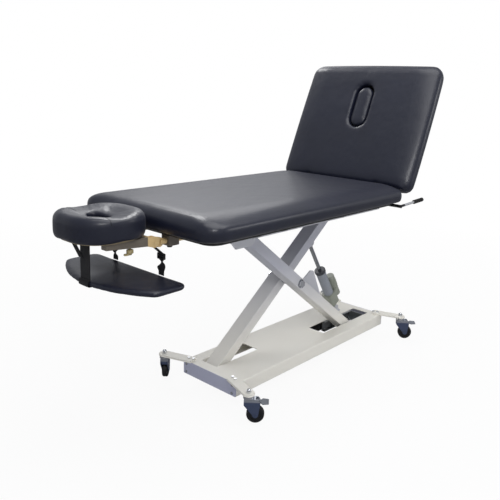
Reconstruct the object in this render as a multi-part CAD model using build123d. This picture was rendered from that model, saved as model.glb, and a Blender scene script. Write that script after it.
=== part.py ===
from build123d import *
from math import atan2, cos, degrees, hypot, radians, sin
import os

os.makedirs("parts", exist_ok=True)

# Lengths are in mm, +Z up, +X toward the backrest end, -Y the side of the release lever.

# Base pan
pan_half_x = 514.0
pan_half_y = 149.0
pan_low = 50.0
pan_top = 105.4
pan_wall = 3.0
pan_lip = 35.0
pan_bend = 5.0
window_r = 6.0
window_head = (-470.0, -230.0, 4.0, 93.0)
window_foot = (109.0, 481.0, -90.0, -0.5)
end_screw_y = 130.0
end_screw_low = 62.0
end_screw_high = 94.0
screw_head_r = 5.5
screw_head_h = 3.0
screw_shank_r = 2.5

# Castor bars and castors
bar_w = 45.0
bar_t = 8.0
bar_in_x = 500.0
bar_in_y = 110.0
stud_x = 542.0
stud_y = 240.0
stud_r = 5.0
stud_low = 74.0
nut_r = 10.0
nut_h = 9.0
nut_top = 129.5
bar_bolt_gap = 26.0
ring_r = 20.0
ring_low = 94.0
trail = 25.4
wheel_r = 33.0
wheel_w = 22.0
wheel_edge = 5.0
hub_r = 13.0
hub_dish = 3.0
axle_r = 4.0
turn_gap = 0.3
side_gap = 1.0
fork_t = 3.0
fork_top = 93.0
fork_crown = 70.0
fork_hub_r = 17.0
fork_eye_r = 11.0
pedal_x = 36.0
pedal_z = 80.0
pedal_r = 3.0
pedal_long = 30.0
pedal_half = 21.0
pedal_t = 4.0
pedal_ear = 8.0

# Scissor lift
arm_half = 489.0
arm_deg = 38.0
foot_x = -447.0
foot_z = 78.0
arm_in_y = 12.0
arm_out_y = 82.0
arm_deep = 45.0
arm_wall = 3.0
centre_r = 10.0
centre_head_r = 17.0
centre_head_h = 9.0
washer_r = 20.0
washer_t = 2.0
axle_arm_r = 8.0
roller_r = 20.0
roller_w = 12.0
roller_side = 3.0
roller_web = 1.0
track_t = 4.0
track_gap = 0.4
track_foot_x0 = 228.0
track_foot_x1 = 452.0
track_top_x0 = -600.0
track_top_x1 = 452.0
stop_t = 4.0
gusset_t = 6.0
gusset_r = 5.0
gusset_points = ((42.0, 356.0), (94.0, 388.0), (118.0, 383.0), (178.0, 254.0), (154.0, 206.0), (44.0, 292.0))
foot_bracket_x0 = -492.0
foot_bracket_x1 = -402.0
foot_bracket_t = 3.9
foot_bracket_in = 0.0
foot_bracket_out = 97.5
foot_bracket_low = 50.5
top_bracket_points = ((-493.0, 704.5), (-370.0, 704.5), (-370.0, 620.0), (-386.0, 606.0),
                      (-473.0, 606.0), (-493.0, 630.0))
top_bracket_near = 6.0
top_bracket_slot = 4.0
top_pin_head = 7.0

# Actuator
act_y = 47.0
act_top = (152.0, 497.0)
act_foot = (380.0, 126.0)
act_slot_lead = 2.3
act_slot_half = 3.4
act_slot_side = 0.7
act_pin_r = 6.0
rod_r = 9.0
rod_tail = 180.0
rod_eye_r = 11.5
rod_eye_half = 9.0
rod_gap = 0.4
lug_t = 5.0
lug_half = 24.0
lug_end_r = 15.0
lug_base_half = 40.0
lug_base_t = 4.0
clevis_x0 = 352.0
clevis_x1 = 410.0
clevis_base_t = 4.0
clevis_r = 15.0
tube_r = 24.0
tube_low = 104.0
tube_top = 246.0
cap_r = 27.0
cap_long = 14.0
cap_edge = 3.0
gear_low = 30.0
gear_half_y = 27.0
gear_half_z = 28.0
gear_edge = 8.0
motor_off = 47.0
motor_r = 21.0
motor_low = 62.0
motor_top = 178.0
motor_band = 6.0
motor_edge = 4.0
rib_t = 3.0
rib_pitch = 9.0
rib_proud = 1.5
rib_count = 5
box_x0 = 209.0
box_x1 = 360.0
box_y0 = 12.0
box_y1 = 96.0
box_low = 56.0
box_edge = 5.0
inlet_x = 240.0
inlet_w = 34.0
inlet_h = 24.0
inlet_deep = 12.0
inlet_wall = 3.0
inlet_pin_w = 4.0
inlet_pin_t = 2.0
inlet_pin_gap = 7.0

# Top frame, seat and backrest
board_low = 719.0
board_t = 12.0
pad_t = 66.0
pad_crown = 12.0
shoulder_in = 62.0
shoulder_drop = 3.5
half_y = 355.0
board_half_y = 320.0
seat_x0 = -850.0
seat_x1 = 300.0
seat_r_head = 78.0
seat_r_rear = 38.0
seat_board_x0 = -810.0
seat_board_x1 = 270.0
board_r = 45.0
top_edge_r = 26.0
low_edge_r = 8.0
cross_w = 40.0
cross_wall = 2.5
cross_half_y = 290.0
cross_short_y = 150.0
cross_xs = (-570.0, -430.0, -80.0)
cross_rear_x = 200.0
back_deg = 66.2
hinge_x = 313.0
hinge_z = 785.0
back_x0 = 304.0
back_x1 = 910.0
back_r_low = 37.0
back_r_top = 62.0
back_board_x0 = 336.0
back_board_x1 = 880.0
plug_x = 688.0
plug_long = 200.0
plug_wide = 82.0
plug_gap = 5.0
plug_ledge = 16.0
plug_edge = 12.0
plug_rise = 2.0
soft_gap = 0.3

# Ratchet hinge
slot_y0 = 179.0
slot_y1 = 199.0
slot_deep = 26.0
slot_roof = 1.5
bracket_y0 = 190.0
bracket_y1 = 196.0
bracket_x0 = 180.0
bracket_leg_x0 = 304.0
bracket_leg_x1 = 322.0
bracket_low = 694.0
bracket_eye_r = 9.0
bracket_flange_y = 232.0
bracket_flange_t = 5.0
cheek_y0 = 182.0
cheek_y1 = 188.0
cheek_end = 430.0
cheek_low = 703.0
cheek_flange_t = 5.0
hinge_pin_r = 5.0
rack_y0 = 172.0
rack_y1 = 178.0
rack_in_r = 105.0
rack_out_r = 125.0
rack_tooth = 4.5
rack_a0 = -30.0
rack_a1 = -134.0
rack_pitch = 6.62
rack_notches = 11
notch_first = -129.0
pawl_deg = -60.0
shaft_x = 290.0
shaft_z = 712.0
shaft_r = 7.0
shaft_y0 = -347.0
shaft_y1 = 204.0
pawl_hub_r = 11.0
pawl_tip_r = 103.4
pawl_root = 13.0
pawl_tip_w = 2.4
lever_rod_r = 5.5
lever_rod_x = 407.0
grip_r = 9.0
grip_x1 = 488.0
grip_rise = 8.5
grip_y = -340.0
grip_edge = 6.0
grip_groove = 1.2
grip_grooves = 5

# Face cradle
cradle_x0 = -1122.0
cradle_x1 = -859.0
cradle_half_y = 138.0
cradle_r = 116.0
cradle_low = 735.5
cradle_top = 812.0
face_x = -990.0
face_long = 92.0
face_wide = 132.0
platform_low = 726.0
platform_top = 735.2
platform_in = 20.0
cradle_edge = 24.0
cradle_low_edge = 18.0
dish_depth = 15.0
dish_r = 98.0
saddle_depth = 11.0
saddle_half = 70.0
wood_y = 100.0
wood_half = 12.0
wood_tip_x = -1044.0
wood_root_x = -890.0
wood_tip_z = 709.0
wood_low_z = 696.0
tilt_x = -862.0
tilt_z = 705.0
knuckle_r = 19.0
knuckle_t = 9.0
knuckle_gap = 0.6
knuckle_disc = 6.3
tilt_pin_r = 4.0
yoke_x = -837.5
yoke_z = 700.0
yoke_bar = 12.0
dowel_r = 10.5
dowel_end = -640.0
socket_x0 = -812.0
socket_x1 = -768.0
socket_low = 684.0
socket_half = 20.0
socket_gap = 0.5
socket_edge = 3.0
socket_foot_r = 9.0
socket_foot_h = 8.0
knob_x = -950.0
knob_r = 11.0
knob_h = 12.0
cam_long = 16.0
cam_w = 12.0
cam_t = 5.0

# Arm shelf and straps
shelf_low = 576.0
shelf_top = 596.0
shelf_half_y = 255.0
shelf_rear = -829.0
shelf_side = -953.0
shelf_apex = -1042.0
shelf_r = 28.0
shelf_edge = 7.0
strap_t = 2.4
strap_w = 26.0
front_strap_x = -1034.0
front_strap_y = 0.0
front_strap_w = 52.0
front_strap_low = 596.3
front_strap_top = 725.6
branch_z = 672.0
branch_top_y = 74.0
branch_top_z = 718.0
branch_w = 22.0
rear_strap_x = -848.0
rear_strap_low = 596.3
rear_strap_top = 714.0
buckle_z = 660.0
buckle_w = 34.0
buckle_h = 20.0
buckle_t = 5.0
buckle_bar = 3.5

# Shared overrun of every cut, and small working gaps
over = 3.0
edge_small = 1.0

# Values that follow from the ones above
arm_pitch = radians(arm_deg)
arm_span_x = 2 * arm_half * cos(arm_pitch)
arm_span_z = 2 * arm_half * sin(arm_pitch)
centre_x = foot_x + arm_span_x / 2
centre_z = foot_z + arm_span_z / 2
head_x = foot_x + arm_span_x
head_z = foot_z + arm_span_z
pan_under = pan_top - pan_wall
pad_low = board_low + board_t
pad_top = pad_low + pad_t
track_half = roller_r + track_gap + track_t
act_long = hypot(act_top[0] - act_foot[0], act_top[1] - act_foot[1])
act_lean = degrees(atan2(act_top[1] - act_foot[1], act_top[0] - act_foot[0]))
act_dx = act_top[0] - centre_x
act_dz = act_top[1] - centre_z
lug_x = act_dx * cos(arm_pitch) + act_dz * sin(arm_pitch)
lug_z = act_dz * cos(arm_pitch) - act_dx * sin(arm_pitch)
arm_low = -arm_deep / 2
rear_strap_y = wood_y + knuckle_t / 2 + knuckle_gap + knuckle_disc + edge_small + soft_gap + strap_w / 2

nodes = {}


def block(x0, x1, y0, y1, z0, z1):
    return Pos((x0 + x1) / 2, (y0 + y1) / 2, (z0 + z1) / 2) * Box(x1 - x0, y1 - y0, z1 - z0)


def round_x(y, z, r, x0, x1):
    return Pos((x0 + x1) / 2, y, z) * Rot(0, 90, 0) * Cylinder(r, x1 - x0)


def round_y(x, z, r, y0, y1):
    return Pos(x, (y0 + y1) / 2, z) * Rot(90, 0, 0) * Cylinder(r, y1 - y0)


def round_z(x, y, r, z0, z1):
    return Pos(x, y, (z0 + z1) / 2) * Cylinder(r, z1 - z0)


def side_plate(face, y0, y1):
    """Extrude a profile drawn in X and Z so that it fills y0 to y1."""
    return Pos(0, y1, 0) * (Plane.XZ * extrude(face, y1 - y0, dir=(0, 0, 1)))


def flat_plate(face, z0, z1):
    return Pos(0, 0, z0) * extrude(face, z1 - z0, dir=(0, 0, 1))


def polygon(points):
    return make_face(Polyline(*points, close=True))


def rounded(x0, x1, y0, y1, r):
    return Pos((x0 + x1) / 2, (y0 + y1) / 2) * RectangleRounded(x1 - x0, y1 - y0, r)


def in_arm_a(shape):
    """Move a shape drawn about the scissor's centre onto the line of arm A."""
    return Pos(centre_x, 0, centre_z) * Rot(0, -arm_deg, 0) * shape


def in_arm_b(shape):
    return Pos(centre_x, 0, centre_z) * Rot(0, arm_deg, 0) * shape


def keep(name, shape):
    nodes[name] = shape


# Base


def base_pan():
    outer = block(-pan_half_x, pan_half_x, -pan_half_y, pan_half_y, pan_low, pan_top)
    outer = fillet(outer.edges().filter_by(Axis.X), pan_bend)
    inner_y = pan_half_y - pan_wall
    inner = block(-pan_half_x - over, pan_half_x + over, -inner_y, inner_y, pan_low + pan_wall, pan_under)
    inner = fillet(inner.edges().filter_by(Axis.X), pan_bend - pan_wall)
    mouth_y = pan_half_y - pan_lip
    mouth = block(-pan_half_x - over, pan_half_x + over, -mouth_y, mouth_y,
                  pan_low - over, pan_low + pan_wall + over)
    pan = outer - inner - mouth
    for x0, x1, y0, y1 in (window_head, window_foot):
        pan -= flat_plate(rounded(x0, x1, y0, y1, window_r), pan_under - over, pan_top + over)
    return pan


def end_plate(sign):
    face = RectangleRounded(2 * pan_half_y, pan_top - pan_low, pan_bend)
    plate = Rot(0, 90, 0) * Rot(0, 0, 90) * extrude(face, pan_wall / 2, both=True)
    plate = fillet(plate.edges().filter_by(GeomType.LINE).filter_by(Axis.Y), edge_small)
    plate = Pos(sign * (pan_half_x + pan_wall / 2), 0, (pan_low + pan_top) / 2) * plate
    for y in (-end_screw_y, end_screw_y):
        for z in (end_screw_low, end_screw_high):
            x = sign * (pan_half_x + pan_wall / 2)
            plate -= round_x(y, z, screw_shank_r, x - pan_wall, x + pan_wall)
    return plate


def castor_bar(sx, sy):
    """A flat bar from the pan's corner to a half-round end about the castor stud."""
    run_x = stud_x - bar_in_x
    run_y = stud_y - bar_in_y
    run = hypot(run_x, run_y)
    lean = degrees(atan2(run_y, run_x))
    face = Pos(run / 2, 0) * Rectangle(run, bar_w) + Pos(run, 0) * Circle(bar_w / 2)
    face -= Pos(run, 0) * Circle(stud_r)
    bar = extrude(face, bar_t)
    bar = chamfer(bar.faces().sort_by(Axis.Z)[-1].outer_wire().edges(), edge_small)
    bar = Pos(bar_in_x, bar_in_y, pan_top) * Rot(0, 0, lean) * bar
    if sx < 0:
        bar = mirror(bar, Plane.YZ)
    if sy < 0:
        bar = mirror(bar, Plane.XZ)
    return bar


def dome_nut(x, y):
    """A hexagon nut with a domed cap, closed over the stud's end."""
    low = pan_top + bar_t
    body = Pos(x, y, low) * extrude(RegularPolygon(nut_r, 6), nut_h)
    dome_r = nut_r * cos(radians(30)) - edge_small
    dome = Pos(x, y, nut_top - dome_r) * Sphere(dome_r)
    dome &= round_z(x, y, nut_r, low, nut_top)
    return body + dome


def stud(x, y):
    """The castor's stud with its collar and the bright swivel ring below the bar."""
    ring_top = pan_top
    ring = round_z(x, y, ring_r, ring_low, ring_top)
    ring = chamfer(ring.faces().sort_by(Axis.Z)[-1].edges(), edge_small)
    tail = round_z(x, y, stud_r, stud_low, pan_top + bar_t)
    foot = round_z(x, y, stud_r + pan_wall, stud_low - pan_wall, stud_low)
    return ring + tail + foot


def bar_bolts(sx, sy):
    run_x = stud_x - bar_in_x
    run_y = stud_y - bar_in_y
    run = hypot(run_x, run_y)
    out = []
    for share in (0.06, 0.21):
        x = sx * (bar_in_x + run_x * share - bar_bolt_gap * 0.2)
        y = sy * (bar_in_y + run_y * share - bar_bolt_gap * 0.2)
        top = pan_top + bar_t
        outline = RegularPolygon(screw_head_r + edge_small, 6)
        head = Pos(x, y, top) * extrude(outline, screw_head_h + edge_small)
        out.append(head)
    return out


def end_screws(sign):
    out = []
    face_x = pan_half_x + pan_wall
    for y in (-end_screw_y, end_screw_y):
        for z in (end_screw_low, end_screw_high):
            head = round_x(y, z, screw_head_r, face_x, face_x + screw_head_h)
            head = chamfer(head.faces().sort_by(Axis.X)[-1].edges(), edge_small)
            head += round_x(y, z, screw_shank_r, face_x - pan_wall, face_x)
            out.append(head if sign > 0 else mirror(head, Plane.YZ))
    return out


def foot_bracket():
    """U bracket under the pan's top sheet that carries the foot of arm A."""
    x0 = foot_bracket_x0
    x1 = foot_bracket_x1
    t = foot_bracket_t
    shape = block(x0, x1, foot_bracket_in, foot_bracket_out, foot_bracket_low, foot_bracket_low + t)
    for y0 in (foot_bracket_in, foot_bracket_out - t):
        side = block(x0, x1, y0, y0 + t, foot_bracket_low, pan_under)
        shape += side
    ends = shape.edges().filter_by(Axis.Y).group_by(Axis.Z)[0]
    shape = fillet(ends, t - edge_small)
    return shape - round_y(foot_x, foot_z, axle_arm_r, foot_bracket_in - over, foot_bracket_out + over)


def foot_pin():
    pin = round_y(foot_x, foot_z, axle_arm_r, foot_bracket_in - over, foot_bracket_out + over)
    return chamfer(pin.edges(), edge_small)


def channel(x0, x1, z, web_y, mouth_y):
    """A C-shaped track; its web stands at web_y and its mouth opens toward mouth_y."""
    y0 = min(web_y, mouth_y)
    y1 = max(web_y, mouth_y)
    shape = block(x0, x1, y0, y1, z - track_half, z + track_half)
    inner = roller_r + track_gap
    if web_y < mouth_y:
        cut = block(x0 - over, x1 + over, y0 + track_t, y1 + over, z - inner, z + inner)
    else:
        cut = block(x0 - over, x1 + over, y0 - over, y1 - track_t, z - inner, z + inner)
    return shape - cut


def track_pair(x0, x1, z, arm_y0, arm_y1):
    """Two facing channels outside the arm's faces, and the plate that closes their far end."""
    web = roller_side + roller_w + roller_web + track_t
    pair = channel(x0, x1, z, arm_y0 - web, arm_y0 - edge_small)
    pair += channel(x0, x1, z, arm_y1 + web, arm_y1 + edge_small)
    pair += block(x1 - stop_t, x1, arm_y0 - web, arm_y1 + web, z - track_half, z + track_half)
    return pair


def clevis():
    half_w = rod_eye_half + lug_t + lug_t
    base = block(clevis_x0, clevis_x1, act_y - half_w, act_y + half_w, pan_top, pan_top + clevis_base_t)
    base = fillet(base.edges().filter_by(Axis.Z), clevis_base_t)
    x = act_foot[0]
    z = act_foot[1]
    half = (clevis_x1 - clevis_x0) / 2 - clevis_base_t
    low = pan_top + clevis_base_t
    face = polygon(((x - half, low), (x + half, low), (x + clevis_r * 0.8, z), (x - clevis_r * 0.8, z)))
    face += Pos(x, z) * Circle(clevis_r)
    face &= Pos(x, low + clevis_r * 2) * Rectangle(4 * clevis_r, clevis_r * 4)
    near = act_y - rod_eye_half - side_gap
    far = act_y + rod_eye_half + side_gap
    shape = base + side_plate(face, near - lug_t, near) + side_plate(face, far, far + lug_t)
    pin = round_y(x, z, act_pin_r, near - lug_t - over, far + lug_t + over)
    return shape + chamfer(pin.edges(), edge_small)


def control_box():
    """Closed box under the pan's top sheet with the mains inlet let into its near side."""
    box = block(box_x0, box_x1, box_y0, box_y1, box_low, pan_under)
    box = fillet(box.edges().filter_by(Axis.Z), box_edge)
    mid = (box_low + pan_under) / 2
    pocket = block(inlet_x - inlet_w / 2, inlet_x + inlet_w / 2, box_y1 - inlet_deep, box_y1 + over,
                   mid - inlet_h / 2, mid + inlet_h / 2)
    return box - fillet(pocket.edges().filter_by(Axis.Y), inlet_wall)


def mains_inlet():
    """Shrouded inlet with its three contact blades."""
    mid = (box_low + pan_under) / 2
    shell = block(inlet_x - inlet_w / 2, inlet_x + inlet_w / 2, box_y1 - inlet_deep, box_y1 + edge_small,
                  mid - inlet_h / 2, mid + inlet_h / 2)
    shell = fillet(shell.edges().filter_by(Axis.Y), inlet_wall)
    inner = block(inlet_x - inlet_w / 2 + inlet_wall, inlet_x + inlet_w / 2 - inlet_wall,
                  box_y1 - inlet_deep + inlet_wall, box_y1 + over,
                  mid - inlet_h / 2 + inlet_wall, mid + inlet_h / 2 - inlet_wall)
    shell -= inner
    for place in (-1, 0, 1):
        x = inlet_x + place * inlet_pin_gap
        shell += block(x - inlet_pin_t / 2, x + inlet_pin_t / 2, box_y1 - inlet_deep, box_y1 - edge_small,
                       mid - inlet_pin_w / 2, mid + inlet_pin_w / 2)
    return shell


keep("base_pan", base_pan())
keep("head_end_plate", end_plate(-1))
keep("foot_end_plate", end_plate(1))
corners = ((-1, 1), (-1, -1), (1, -1), (1, 1))
keep("castor_bars", Compound(children=[castor_bar(sx, sy) for sx, sy in corners]))
nuts = [dome_nut(sx * stud_x, sy * stud_y) for sx, sy in corners]
bolts = [bolt for sx, sy in corners for bolt in bar_bolts(sx, sy)]
keep("castor_studs", Compound(children=[stud(sx * stud_x, sy * stud_y) for sx, sy in corners]))
keep("base_fasteners", Compound(children=nuts + bolts + end_screws(-1) + end_screws(1)))
keep("arm_a_foot_bracket", foot_bracket() + foot_pin())
keep("slide_track", track_pair(track_foot_x0, track_foot_x1, foot_z, -arm_out_y, -arm_in_y))
keep("actuator_clevis", clevis())
keep("control_box", control_box() + mains_inlet())

# Castors, drawn with the stud at the origin and the wheel trailing along +X


def fork():
    inner = wheel_w / 2 + side_gap
    points = ((-fork_hub_r, fork_top), (pedal_x, fork_top), (pedal_x + pedal_ear, pedal_z),
              (trail + fork_eye_r, wheel_r), (trail - fork_eye_r, wheel_r), (-fork_hub_r, fork_crown))
    face = fillet(polygon(points).vertices(), pedal_ear / 2) + Pos(trail, wheel_r) * Circle(fork_eye_r)
    shape = side_plate(face, inner, inner + fork_t) + side_plate(face, -inner - fork_t, -inner)
    crown = block(-fork_hub_r, pedal_x - pedal_ear - edge_small, -inner - fork_t, inner + fork_t,
                  fork_crown, fork_top)
    crown = fillet(crown.edges().filter_by(Axis.Z), pedal_ear)
    shape += crown
    shape -= round_z(0, 0, stud_r + turn_gap, fork_crown - over, fork_top + over)
    shape -= round_z(0, 0, stud_r + pan_wall + turn_gap, fork_crown - over, stud_low + turn_gap)
    shape += round_y(trail, wheel_r, axle_r, -inner - fork_t - edge_small, inner + fork_t + edge_small)
    return shape + round_y(pedal_x, pedal_z, pedal_r, -inner - fork_t, inner + fork_t)


def wheel():
    body = fillet(Cylinder(wheel_r, wheel_w).edges(), wheel_edge)
    for end in (-1, 1):
        body -= Pos(0, 0, end * wheel_w / 2) * Cylinder(wheel_r - wheel_edge * 2, hub_dish * 2)
        body += Pos(0, 0, end * (wheel_w / 2 - hub_dish / 2)) * Cylinder(hub_r, hub_dish)
    body -= Cylinder(axle_r + turn_gap, wheel_w + over)
    return Pos(trail, 0, wheel_r) * Rot(90, 0, 0) * body


def pedal():
    """Winged brake pedal: a hub on the fork's cross pin and a plate that widens behind it."""
    inner = wheel_w / 2 - edge_small
    hub = round_y(pedal_x, pedal_z, pedal_ear, -inner, inner)
    x0 = pedal_x + pedal_ear
    x1 = x0 + pedal_long
    points = ((pedal_x, -inner), (x0, -inner), (x0 + pedal_ear, -pedal_half), (x1, -pedal_half * 0.8),
              (x1, pedal_half * 0.8), (x0 + pedal_ear, pedal_half), (x0, inner), (pedal_x, inner))
    face = fillet(polygon(points).vertices().sort_by(Axis.X)[2:], pedal_r)
    plate = flat_plate(face, pedal_z - pedal_t / 2, pedal_z + pedal_t / 2)
    rib = block(x1 - pedal_t, x1, -pedal_half * 0.6, pedal_half * 0.6, pedal_z, pedal_z + pedal_t)
    shape = hub + plate + fillet(rib.edges().filter_by(Axis.Y).group_by(Axis.Z)[-1], edge_small)
    return shape - round_y(pedal_x, pedal_z, pedal_r + turn_gap, -inner - over, inner + over)


castor_turns = (("1", -1, 1, 40.4), ("2", -1, -1, -49.6), ("3", 1, -1, -49.6), ("4", 1, 1, 40.4))
for name, sx, sy, turn in castor_turns:
    place = Pos(sx * stud_x, sy * stud_y, 0) * Rot(0, 0, turn)
    keep("castor_fork_" + name, place * fork())
    keep("castor_wheel_" + name, place * wheel())
    keep("brake_pedal_" + name, place * pedal())

# Scissor lift


def arm_tube(y0, y1, plain_r, loose_r):
    """Rectangular tube with round ends about its two pivots and a loose bore or a tight one in each."""
    face = SlotCenterToCenter(2 * arm_half, arm_deep)
    tube = side_plate(face, y0, y1)
    tube = fillet(tube.edges().filter_by(GeomType.LINE).filter_by(Axis.X), arm_wall)
    far = arm_half + arm_deep
    inside = arm_deep / 2 - arm_wall
    tube -= block(-far, far, y0 + arm_wall, y1 - arm_wall, -inside, inside)
    tube -= round_y(arm_half, 0, plain_r, y0 - over, y1 + over)
    return tube - round_y(-arm_half, 0, loose_r, y0 - over, y1 + over)


def axle(y0, y1):
    """Axle fixed in the arm, with a collar beside each roller."""
    reach = roller_side + roller_w + roller_web / 2
    shape = round_y(arm_half, 0, axle_arm_r, y0 - reach, y1 + reach)
    collar = roller_side - turn_gap * 2
    shape += round_y(arm_half, 0, axle_arm_r + over, y0 - collar, y0)
    return shape + round_y(arm_half, 0, axle_arm_r + over, y1, y1 + collar)


def rollers(x, z, y0, y1):
    out = []
    for start in (y0 - roller_side - roller_w, y1 + roller_side):
        roller = round_y(x, z, roller_r, start, start + roller_w)
        roller = chamfer(roller.edges(), edge_small)
        out.append(roller - round_y(x, z, axle_arm_r + turn_gap, start - over, start + roller_w + over))
    return Compound(children=out)


def centre_bolt():
    """Bolt with head, washers, spacer between the arms, and nut."""
    shape = round_y(0, 0, centre_r, -arm_out_y, arm_out_y)
    shape += round_y(0, 0, washer_r, -arm_in_y, arm_in_y - track_gap)
    shape += round_y(0, 0, washer_r, -arm_out_y - washer_t, -arm_out_y)
    near = -arm_out_y - washer_t
    shape += Pos(0, near, 0) * (Plane.XZ * extrude(RegularPolygon(centre_head_r, 6), centre_head_h))
    far = arm_out_y + track_gap
    shape += round_y(0, 0, centre_r, arm_out_y, far) + round_y(0, 0, washer_r, far, far + washer_t)
    nut = Plane.XZ * extrude(RegularPolygon(centre_head_r, 6), centre_head_h)
    return shape + Pos(0, far + washer_t + centre_head_h, 0) * nut


def rod_lugs():
    """Lugs under arm A; their slots let the pin settle as the lift moves."""
    top = arm_low - lug_base_t
    face = polygon(((lug_x - lug_half, top), (lug_x + lug_half, top), (lug_x + lug_end_r, lug_z),
                    (lug_x - lug_end_r, lug_z)))
    face += Pos(lug_x + act_slot_lead, lug_z) * SlotCenterToCenter(act_slot_lead * 2, lug_end_r * 2)
    slot = SlotCenterToCenter(act_slot_half * 2, (act_pin_r + act_slot_side) * 2)
    face -= Pos(lug_x + act_slot_lead, lug_z) * slot
    near = act_y - rod_eye_half - side_gap
    far = act_y + rod_eye_half + side_gap
    shape = side_plate(face, near - lug_t, near) + side_plate(face, far, far + lug_t)
    base = block(lug_x - lug_base_half, lug_x + lug_base_half, near - lug_t * 2, far + lug_t * 2,
                 top, arm_low)
    return shape + fillet(base.edges().filter_by(Axis.Z), lug_base_t)


def top_bracket():
    """U bracket that hangs arm B's upper pivot under the cross bar."""
    face = polygon(top_bracket_points)
    face -= Pos(foot_x, head_z) * Circle(axle_arm_r)
    near = -arm_out_y - top_bracket_slot
    web = roller_side + roller_w + roller_web + track_t
    far = arm_in_y - web
    back_x = top_bracket_points[0][0]
    shape = side_plate(face, near - top_bracket_near, near)
    shape += side_plate(face, -arm_in_y + track_gap, far)
    back = block(back_x, back_x + track_t, near, far, top_bracket_points[5][1], top_bracket_points[0][1])
    return shape + back


def top_pin():
    near = -arm_out_y - top_bracket_slot - top_bracket_near
    web = roller_side + roller_w + roller_web + track_t
    pin = round_y(foot_x, head_z, axle_arm_r, near, arm_in_y - web)
    head = round_y(foot_x, head_z, axle_arm_r + over, near - top_pin_head, near)
    washer = round_y(foot_x, head_z, axle_arm_r + over, near + top_bracket_near, -arm_out_y - track_gap)
    return pin + chamfer(head.faces().sort_by(Axis.Y)[0].edges(), edge_small) + washer


def top_frame():
    """Two roller tracks joined by cross bars and side rails of rectangular tube."""
    shape = track_pair(track_top_x0, track_top_x1, head_z, arm_in_y, arm_out_y)
    low = head_z + track_half
    half = cross_w / 2
    for x in cross_xs + (cross_rear_x,):
        y = cross_half_y if x < cross_rear_x else cross_short_y
        bar = block(x - half, x + half, -y, y, low, board_low)
        bar -= block(x - half + cross_wall, x + half - cross_wall, -y - over, y + over,
                     low + cross_wall, board_low - cross_wall)
        shape += bar
    for y in (-cross_half_y, cross_half_y - half):
        rail = block(cross_xs[0] + half, cross_rear_x, y, y + half, low, board_low)
        for x in cross_xs[1:]:
            rail -= block(x - half, x + half, y - over, y + half + over, low - over, board_low + over)
        shape += rail
    return shape


a_tube = arm_tube(arm_in_y, arm_out_y, axle_arm_r, axle_arm_r + turn_gap)
a_tube -= round_y(0, 0, centre_r + turn_gap, arm_in_y - over, arm_out_y + over)
b_tube = arm_tube(-arm_out_y, -arm_in_y, axle_arm_r, axle_arm_r + turn_gap)
b_tube -= round_y(0, 0, centre_r, -arm_out_y - over, -arm_in_y + over)
gusset = fillet(polygon(gusset_points).vertices(), gusset_r)
keep("arm_a_tube", in_arm_a(a_tube))
keep("arm_a_axle", in_arm_a(axle(arm_in_y, arm_out_y)))
keep("actuator_lugs", in_arm_a(rod_lugs()))
keep("upper_rollers", rollers(head_x, head_z, arm_in_y, arm_out_y))
keep("arm_b_tube", in_arm_b(b_tube))
keep("arm_b_axle", in_arm_b(axle(-arm_out_y, -arm_in_y)))
keep("gusset_plate", side_plate(gusset, -arm_in_y, gusset_t - arm_in_y))
keep("centre_bolt", in_arm_b(centre_bolt()))
keep("lower_rollers", rollers(head_x, foot_z, -arm_out_y, -arm_in_y))
keep("top_frame", top_frame())
keep("arm_b_top_bracket", top_bracket())
keep("arm_b_top_pin", top_pin())

# Actuator, drawn along +X from its foot pivot and then leaned


def in_actuator(shape):
    return Pos(act_foot[0], act_y, act_foot[1]) * Rot(0, -act_lean, 0) * shape


def actuator_rod():
    rod = round_x(0, 0, rod_r, rod_tail, act_long - rod_eye_r / 2)
    eye = round_y(act_long, 0, rod_eye_r, -rod_eye_half, rod_eye_half)
    eye = chamfer(eye.edges(), edge_small)
    reach = rod_eye_half + side_gap + lug_t + over
    pin = round_y(act_long, 0, act_pin_r, -reach, reach)
    return rod + eye + pin


def actuator_tube():
    """Outer tube with the foot eye and the bore in which the rod slides."""
    tube = round_x(0, 0, tube_r, tube_low, tube_top)
    bore = rod_r + rod_gap
    return tube - round_x(0, 0, bore, tube_low - over, tube_top + over)


def actuator_gearbox():
    """Gear housing round the tube's foot, its eye, and the ribbed motor beside it."""
    body = block(gear_low, tube_low, -gear_half_y, gear_half_y, -gear_half_z, gear_half_z)
    body = fillet(body.edges().filter_by(Axis.X), gear_edge)
    body = chamfer(body.faces().sort_by(Axis.X)[0].edges(), gear_edge / 2)
    eye = round_y(0, 0, rod_eye_r, -rod_eye_half, rod_eye_half)
    body += eye + block(0, gear_low + over, -rod_eye_half, rod_eye_half, -rod_eye_r * 0.8, rod_eye_r * 0.8)
    link = block(motor_low, tube_low, -motor_r, motor_r, -motor_off, 0)
    body += link
    motor = round_x(0, -motor_off, motor_r, motor_low - motor_band, motor_top)
    body += chamfer(motor.faces().sort_by(Axis.X)[-1].edges(), motor_edge)
    for step in range(rib_count):
        x = tube_low + rib_pitch * (step + 1)
        body += round_x(0, -motor_off, motor_r + rib_proud, x, x + rib_t)
    body -= round_y(0, 0, act_pin_r + turn_gap, -rod_eye_half - over, rod_eye_half + over)
    body -= round_x(0, 0, rod_r + rod_gap, gear_low + motor_edge, tube_low + over)
    return body


def actuator_cap():
    cap = round_x(0, 0, cap_r, tube_top, tube_top + cap_long)
    cap = fillet(cap.faces().sort_by(Axis.X)[-1].edges(), cap_edge)
    return cap - round_x(0, 0, rod_r + rod_gap, tube_top - over, tube_top + cap_long + over)


keep("actuator_rod", in_actuator(actuator_rod()))
keep("actuator_tube", in_actuator(actuator_tube()))
keep("actuator_gearbox", in_actuator(actuator_gearbox()))
keep("actuator_cap", in_actuator(actuator_cap()))

# Seat


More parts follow.
